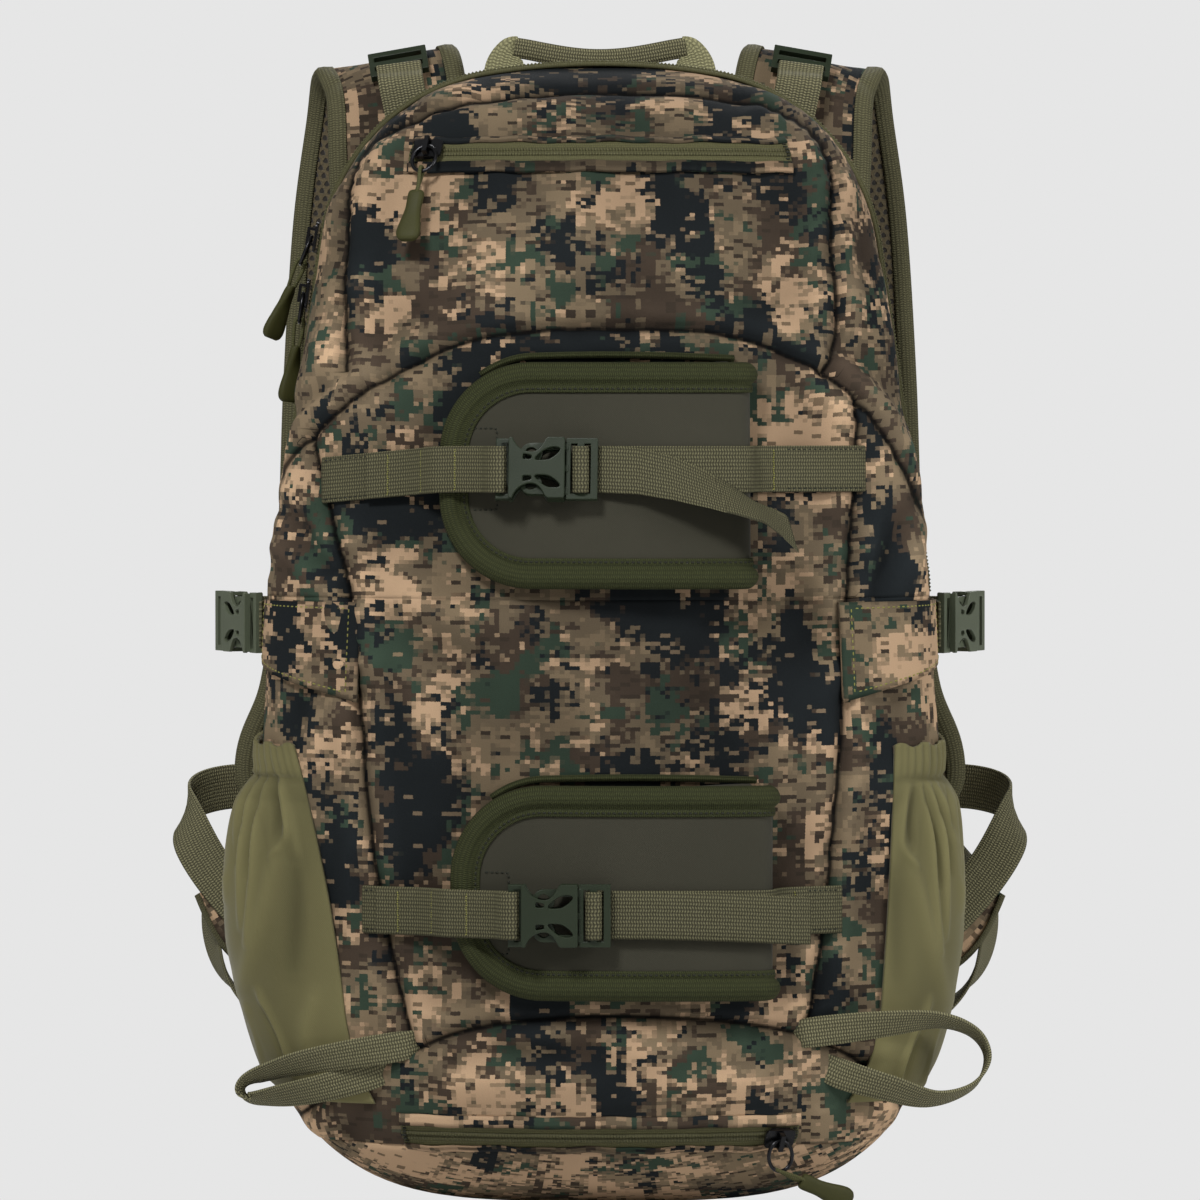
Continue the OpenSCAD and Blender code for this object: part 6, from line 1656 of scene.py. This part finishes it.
H = BAG_H
STRAP = [(88, BACK_Y + 3.6, H - 76, 1, 0, 0, 62), (88, BACK_Y + 3.6, H - 60, 1, 0, 0, 62),
         (89, BACK_Y + 5.4, H - 37, 1, 0, -0.05, 62), (90, BACK_Y + 11, H - 12, 1, 0, -0.12, 62),
         (93, BACK_Y + 23, H + 2, 1, 0.1, -0.22, 62), (97, BACK_Y + 38, H, 1, 0.15, -0.26, 62),
         (101, BACK_Y + 48, H - 20, 1, 0.2, -0.2, 62), (107, BACK_Y + 50, H - 66, 1, 0.1, -0.1, 62),
         (111, BACK_Y + 46, H - 136, 1, 0, 0, 62), (115, BACK_Y + 40, H - 216, 1, -0.05, 0.1, 60),
         (124, BACK_Y + 34, H - 276, 1, -0.08, 0.15, 57), (134, BACK_Y + 30, H - 306, 1, -0.1, 0.2, 58),
         (135, BACK_Y + 29, H - 318, 1, -0.1, 0.25, 52), (132, BACK_Y + 28.5, H - 327, 1, -0.1, 0.25, 38)]
WING = [(89, BACK_Y - 1, 96, 0, 0, 1, 56), (112, BACK_Y + 2, 98, 0, 0, 1, 54), (132, BACK_Y + 6, 101, -0.1, 0, 1, 46),
        (146, BACK_Y + 8, 103, -0.45, 0, 0.9, 39), (158, BACK_Y + 8.5, 111, -0.75, 0, 0.66, 33),
        (169, BACK_Y + 9, 128, -0.86, 0, 0.5, 27)]
for side_name, way in SIDES:
    padded_strip(side_name + "_strap_pad", STRAP, 11, way, side_name + "_shoulder_strap", 2.0 + way, -1)
    padded_strip(side_name + "_wing_pad", WING, 8, way, side_name + "_belt_wing", 5.0 + way, 0, 0.35)

# %% [markdown]
# Three lengths of webbing on each side join the harness to the bag: the load lifter over the shoulder to its ladder
# lock, the adjuster from the strap's lower end to the base, and the belt round the hips. They are strips through
# stations, as the CAD model lays them. A strip at a lock or a moving buckle is baked in place and tied to no body.

# %% Paths of the harness webbing
LOCK_AT, LOCK_TILT, LOCK_ROLL = np.array([89.5, BACK_Y + 12.3, H + 5.1]), radians(49), radians(10)


def by_lock(u, n):
    """A place at the ladder lock: u along it and n out of it."""
    h = sin(LOCK_TILT) * u + cos(LOCK_TILT) * n
    return LOCK_AT + (h * sin(LOCK_ROLL), cos(LOCK_TILT) * u - sin(LOCK_TILT) * n, h * cos(LOCK_ROLL))


over_bar, slot_at = BAR_T / 2 + LAY + WEB_T / 2, -(SLOT_W + BAR_W) / 2
seat = BACK_Y - 70 ** 2 / (2 * REAR_R) + LAY + WEB_T / 2
lifter = [(80, seat, TOP_SEAM_Z - 16), (80, seat, TOP_SEAM_Z - 4), (82, BACK_Y - 2, H - 34)]
lifter += [by_lock(slot_at - u, over_bar + n) for u, n in ((16, 2.4), (6, 0.4), (1.2, 0.2))]
lifter += [by_lock(slot_at, 1.6), by_lock(slot_at, 0)]
LIFTER = [(*p, 1, 0, -0.025 * i, WEB_W) for i, p in enumerate(lifter)]
ADJUSTER = [(134, BACK_Y + 22.6, H - 314, 1, -0.1, 0.2, WEB_W), (138, BACK_Y + 21.4, H - 330, 0.95, 0, 0.3, WEB_W),
            (154, BACK_Y + 26, 141, 0.6, 0.5, 0.3, WEB_W), (172, BACK_Y + 30, 125, 0.35, 0.9, 0, WEB_W),
            (174, BACK_Y + 23, 105, 0.35, 0.9, 0, WEB_W), (166, BACK_Y + 9, 85, 0.2, 0.95, 0, WEB_W),
            (148, BACK_Y - 3, 69, -0.4, 0.9, 0, WEB_W), (125, BACK_Y - 6.8, 60, -0.89, 0.45, 0, WEB_W)]
BELT_Y, BELT_Z = BACK_Y + 62, 160.0


def belt(end):
    before = [(143, 1.8, 105, -0.5, 0, 1), (154, 2.8, 111.5, -0.6, 0, 0.9), (171, 7, 130, -0.6, 0, 0.6),
              (182, 14, 148, -0.5, 0.1, 0.8), (184, 30, 161, -0.2, 0.1, 1), (170, 46, 167, 0, 0, 1),
              (140, 57, 167, 0, 0, 1), (90, 65, 163, 0, 0, 1)]
    slot = [(end + 12, over_bar + 0.4), (end + 2.8, over_bar), (end + 0.9, over_bar - 0.3), (end, 1.5), (end, 0)]
    return ([(x, BACK_Y + y, *rest, WEB_W) for x, y, *rest in before]
            + [(x, BELT_Y + y, BELT_Z, 0, 0, 1, WEB_W) for x, y in slot])


print("stations: lifter", len(LIFTER), "adjuster", len(ADJUSTER), "belt", len(belt(8)))


# %% Webbing of the harness
def web_strip(name, stations, way, node, follows=None, start=None, end=None):
    """A length of webbing. One that follows a buckle or lock is baked in place and tied to no body."""
    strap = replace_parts(mirrored_strip(name, stations, way, 10, harness_web), node)
    if follows:
        metres(way, *start)
        metres(way, *end)
        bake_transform(strap)
    else:
        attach(strap, "pack")
    print(name, round(lengths(np.array(stations)[:, :3], 0)[-1]), "mm")


SLOT_IN = BAR_W + SLOT_W / 2  # from a buckle's end to the middle of its slot
for side_name, way, end in (("right", 1, 8 + MALE - SLOT_IN), ("left", -1, SOCKET - 8 - SLOT_IN)):
    web_strip(side_name + "_lifter_web", LIFTER, way, side_name + "_load_lifter", side_name + "_ladder_lock",
              lifter[2], by_lock(slot_at - 4, over_bar))
    web_strip(side_name + "_adjuster_web", ADJUSTER, way, side_name + "_strap_adjuster")
    moving = ("belt_buckle_male", (140, 0, 0), (24, 0, 0)) if way > 0 else ()
    web_strip(side_name + "_belt_web", belt(end), way, side_name + "_belt_webbing", *moving)

# %% [markdown]
# A tool loop of narrow webbing hangs low on each side of the front. Both its ends are sewn into the low seam and the
# rest stands free, as the webbing is stiff. Its stations are a few places on the cloth, then a few in the air.


# %% Tool loops
def tool_loop(name, first, free, last):
    """first and last are s, z and height on the cloth. free are x, y and z, and the way across, in the air."""
    sewn = lambda p: (*on_front(p[0], p[1], LAY * 3 + WEB_T / 2 + p[2]), 0, -0.1, 1, 13 + min(0, p[2]) * 0.6)
    stations = [sewn(p) for p in first] + [(p[0], ZIP_Y + p[1], *p[2:], 13) for p in free] + [sewn(p) for p in last]
    web_strip(name, stations, 1, "tool_loops")


tool_loop("left_loop_web", [(-76, 73.5, -9), (-80, 72.5, -4), (-88, 70.5, 0.6)], [
    (-116, -118, 65.5, 0, -0.5, 0.85), (-136, -108, 60, -0.1, -0.8, 0.6), (-147, -100, 55, -0.2, -0.9, 0.4),
    (-150.5, -96, 50, 0, -0.95, 0.3), (-145, -96, 46.5, 0.1, -0.9, 0.4), (-121, -111, 51.5, 0, -0.5, 0.85)],
    [(-100, 58, 0.6), (-92, 61.5, -4), (-88, 63.5, -9)])
tool_loop("right_loop_web", [(80, 74.5, -9), (84, 75.5, -4), (92, 77, 0.6)], [
    (120, -117, 80, 0, -0.5, 0.85), (143, -108, 80.5, 0.1, -0.85, 0.5), (158, -98, 74, 0.2, -0.95, 0.25),
    (163.5, -94, 63, 0.1, -1, 0.1), (157, -95, 51.5, -0.1, -0.95, 0.2), (140, -102, 47, -0.1, -0.85, 0.5),
    (120, -113, 53, 0, -0.5, 0.85)], [(104, 58.5, 0.6), (96, 63, -4), (92, 65.5, -9)])

# %% [markdown]
# The grab handle is webbing sewn to the back below the top edge: two uprights that fold over inwards, and a rolled
# band that sags between them. The uprights narrow as they fold, so their stations give a width at each place. All
# three ride on the handle's own body, which folds back.

# %% Grab handle
handle_y = BACK_Y - 33 ** 2 / (2 * REAR_R) + LAY + 1.5
for side_name, way in (("left", -1), ("right", 1)):
    up = [(way * 42.5, handle_y, z, way, 0, 0, 19) for z in (437, 450, 465, 478)]
    up += [(way * 42, handle_y + 0.2, 489, way, 0, 0, 17.5), (way * 39.5, handle_y + 0.3, 496, way, 0, 0.5, 12.5),
           (way * 35, handle_y + 0.3, 498.2, way * 0.5, 0, 0.9, 9)]
    r, a, _ = strip_rings(up, 2.6, steps=6)
    foot = loft("handle_foot_" + side_name, r[:, ::way], a[:, ::way], handle_web, "grab_handle", "webbing")
    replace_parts(foot, "grab_handle")
band = [(x, handle_y + 0.2, 497.5 - 5.2 * cos(x / 38 * pi / 2) ** 1.2, 0, 0, 1, 9) for x in np.linspace(-38, 38, 13)]
r, a, _ = strip_rings(band, 4.2, PAD_PROFILE, 4)
# The band is in the darker harness webbing, as painted shade, and the uprights in the lighter handle webbing.
loft("handle_band", r, a, harness_web, "grab_handle", "webbing")
print("handle band", round(lengths(np.array(band)[:, :3], 0)[-1]), "mm")

# %% [markdown]
# The back is guessed, as the photograph doesn't show it: two long pads with a channel for air between them and a
# lumbar pad, in net. A subdivided box could be inflated, but its edges would not lie on the back. So each pad is a
# grid over the back panel that is crowned in the middle and drawn in along sewn lines, with piping round it.


# %% Back pads
PAD_ROWS, PAD_COLS, PAD_HIGH, PIPING_R = 130, 60, 11, 1.9


def on_back(x, z):
    return ZIP_Y + rear_depth(z) - REAR_R + sqrt(REAR_R ** 2 - x * x)


def pad_piping(name, x0, x1, z0, z1):
    r, rim = 5.0, []
    for x, z, start in ((x1 - r, z1 - r, 0), (x0 + r, z1 - r, 90), (x0 + r, z0 + r, 180), (x1 - r, z0 + r, 270)):
        rim += [(x + r * cos(f), z + r * sin(f)) for f in np.radians(np.linspace(start, start + 90, 9))]
    rim = resample(rim + rim[:1], 4.0)[:-1]
    hoop(name + "_piping", [(x, on_back(x, z) + PIPING_R, z) for x, z in rim], PIPING_R, edge_tape, "pack",
         "binding_tape")


def back_pad(name, x0, x1, z0, z1, node, across=(), upright=()):
    """A pad with channels sewn across it at heights, or upright at places over its width, and piping round it."""
    outer, inner = np.zeros((PAD_ROWS, PAD_COLS, 3)), np.zeros((PAD_ROWS, PAD_COLS, 3))
    channel = lambda far: np.exp(-(far / 3.2) ** 2)
    for i, v in enumerate(np.linspace(0, 1, PAD_ROWS)):
        z = z0 + (z1 - z0) * v
        for j, u in enumerate(np.linspace(0, 1, PAD_COLS)):
            x = x0 + (x1 - x0) * u
            crown = (1 - abs(2 * u - 1) ** 3.5) ** 0.6 * (1 - abs(2 * v - 1) ** 9) ** 0.6
            sewn = max([channel(z - c) for c in across] + [channel(x - c) for c in upright])
            inner[i, j] = (x, on_back(x, z) + 0.8, z)
            outer[i, j] = (x, on_back(x, z) + 0.9 + PAD_HIGH * crown * (1 - 0.7 * sewn), z)
    loops = np.concatenate([outer, inner[:, ::-1]], 1)
    pad = piece(name, loops.reshape(-1, 3), shell_faces(PAD_ROWS, 2 * PAD_COLS), loops[..., [0, 2]].reshape(-1, 2),
                spacer, "pack", "spacer_mesh")
    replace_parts(pad, node)
    pad_piping(name, x0, x1, z0, z1)
    print(name, x1 - x0, "by", z1 - z0, "mm")


back_pad("left_back_pad", -82, -12, 158, 405, "back_pads", (220, 282, 344))
back_pad("right_back_pad", 12, 82, 158, 405, "back_pads", (220, 282, 344))
back_pad("lumbar_pad_net", -86, 86, 62, 150, "lumbar_pad", (), (-29, 29))

# %% [markdown]
# The socket of a side-release buckle is the finest moulding on the bag: two plates with scooped sides, comma windows
# and small ports, held apart by walls, and a bar for the webbing. Booleans could cut all that, but they leave ragged
# edges. A flat filled curve takes holes cleanly, and its own extrude and bevel give a plate with rounded edges, which
# is then made a mesh. All five sockets are built from the same loops.

# %% Plates of a socket
SCOOP = [(-21.9, 13), (-21.0, 11.0), (-19.4, 8.9), (-17.2, 7.5), (-14.8, 6.8), (-12.4, 7.0), (-10.6, 8.2), (-9.2, 10.1),
         (-8.0, 12.2), (-7.0, 13)]
WINDOW = [(-12.4, 3.9), (-11.3, 5.3), (-8.2, 7.7), (-5.1, 8.7), (-2.6, 8.4), (-2.1, 7.4), (-3.5, 5.6), (-5.9, 3.9),
          (-7.8, 3.3), (-11.6, 3.2)]
PORT = [(-17.2, 5.8), (-14.3, 5.2), (-14.0, 4.4), (-14.3, 3.7), (-17.0, 3.6), (-17.5, 4.6)]


def mirrored(loop):
    return [(t, -v) for t, v in loop[::-1]]


def plate(loops, low, high, soft=0.4):
    """Points and faces of a flat plate. The first loop is its edge and the others are holes."""
    curve = bpy.data.curves.new("plate", "CURVE")
    curve.dimensions, curve.fill_mode = "2D", "BOTH"
    curve.extrude, curve.bevel_depth, curve.bevel_resolution, curve.offset = (high - low) / 2 - soft, soft, 2, -soft
    for loop in loops:
        line = curve.splines.new("POLY")
        line.points.add(len(loop) - 1)
        line.points.foreach_set("co", [c for t, v in loop for c in (t, v, 0, 1)])
        line.use_cyclic_u = True
    mesh = bpy.data.meshes.new_from_object(bpy.data.objects.new("plate", curve))
    return [(*p.co[:2], p.co[2] + (low + high) / 2) for p in mesh.vertices], [tuple(f.vertices) for f in mesh.polygons]


def block(t0, t1, v0, v1):
    return [(t0, v0), (t1, v0), (t1, v1), (t0, v1)]


print("window", len(smooth_run(WINDOW, 4)), "points, scoop", len(smooth_run(SCOOP, 4)), "points")


# %% Buckle sockets
def socket_layers():
    rounded = lambda loop: [tuple(q) for q in smooth_run(loop + loop[:1], 4)[:-1]]
    scoop = [tuple(q) for q in smooth_run(SCOOP, 4)]
    edge = [(-23.5, 12.4), (-22.9, 13)] + scoop + [(-0.7, 13), (0, 12.4)]
    edge = edge + mirrored(edge)
    holes = [hole for shape in (rounded(WINDOW), rounded(PORT)) for hole in (shape, mirrored(shape))]
    layers = [plate([edge] + holes, 2.6, 4.5), plate([edge] + holes, -4.5, -2.6)]
    for wall in (block(-23.5, -22.0, -12.6, 12.6), block(-7.2, -0.1, -12.9, -11.3), block(-7.2, -0.1, 11.3, 12.9)):
        layers.append(plate([wall], -3, 3, 0.1))
    bar, slot = block(-29, -22.6, -13, 13), block(-29 + BAR_W, -23.4, -10.6, 10.6)
    return layers + [plate([bar, slot], -BAR_T / 2, BAR_T / 2, 0.5)]


def socket(node, place, body):
    points, faces = [], []
    for plate_points, plate_faces in socket_layers():
        faces += [tuple(q + len(points) for q in f) for f in plate_faces]
        points += plate_points
    # Side sockets take the lighter plastic, a painted highlight.
    thing = piece(node + "_socket", [tuple(place @ Vector(q)) for q in points], faces, np.zeros((len(points), 2)),
                  side_plastic_painted_light if "compression" in node else plastic, None, "buckle_plastic", smooth=False)
    bpy.ops.object.select_all(action="DESELECT")
    bpy.context.view_layer.objects.active = thing
    bpy.ops.object.mode_set(mode="EDIT")
    bpy.ops.mesh.select_all(action="SELECT")
    bpy.ops.mesh.remove_doubles(threshold=0.000001)
    bpy.ops.mesh.normals_make_consistent(inside=False)
    bpy.ops.object.mode_set(mode="OBJECT")
    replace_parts(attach(thing, body), node)
    print(node, "socket", len(faces), "faces")


for label, k, body in (("upper", upper_sling, "lid"), ("lower", lower_sling, "pack")):
    mouth_at = Matrix.Translation(on_front(k.mouth, k.strap_z, k.buckle_d))
    around = Matrix.Rotation(k.mouth / FRONT_R, 4, "Z") @ Matrix.Rotation(pi / 2 + front_tilt(k.strap_z), 4, "X")
    socket(label + "_buckle_female", mouth_at @ around, body)
aside = (Matrix.Translation((COMP_X, COMP_Y, COMP_Z)) @ Matrix.Rotation(pi / 2 - COMP_TURN, 4, "Z")
         @ turn(-90, "X") @ Matrix.Translation((SOCKET, 0, 0)))
socket("right_compression_female", aside, "pack")
socket("left_compression_female", Matrix.Scale(-1, 4, (1, 0, 0)) @ aside, "pack")
socket("belt_buckle_female", Matrix.Translation((8, BELT_Y, BELT_Z)) @ turn(90, "X"), "pack")

# %% [markdown]
# The other hard fittings keep their CAD shape: prong halves, ladder locks, sliders and the stiffening sheet. A moulded
# edge is never quite sharp, so a small live bevel rounds each buckle, lock and slider, after a weld that joins the CAD
# mesh's loose triangles. The side buckles get a lighter copy of the buckle plastic, a painted highlight for the light
# that their turned faces catch.

# %% Hard fittings
fitted = []
for node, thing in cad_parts.items():
    if "buckle" in node or "compression_male" in node or "compression_female" in node or "ladder" in node:
        # Side buckles take the lighter plastic, a painted highlight.
        finish, soft = side_plastic_painted_light if "compression" in node else plastic, 0.00035
    elif "slider" in node:
        finish, soft = metal, 0.0002
    elif node == "frame_sheet":
        finish, soft = sheet_plastic, 0
    else:
        continue
    thing.data.materials.clear()
    thing.data.materials.append(finish)
    fitted.append(node)
    if soft:
        thing.modifiers.new("weld", "WELD").merge_threshold = 0.00001
        bevel = thing.modifiers.new("bevel", "BEVEL")
        bevel.width, bevel.segments, bevel.angle_limit, bevel.limit_method = soft, 2, radians(35), "ANGLE"
print("fittings with a finish:", len(fitted))
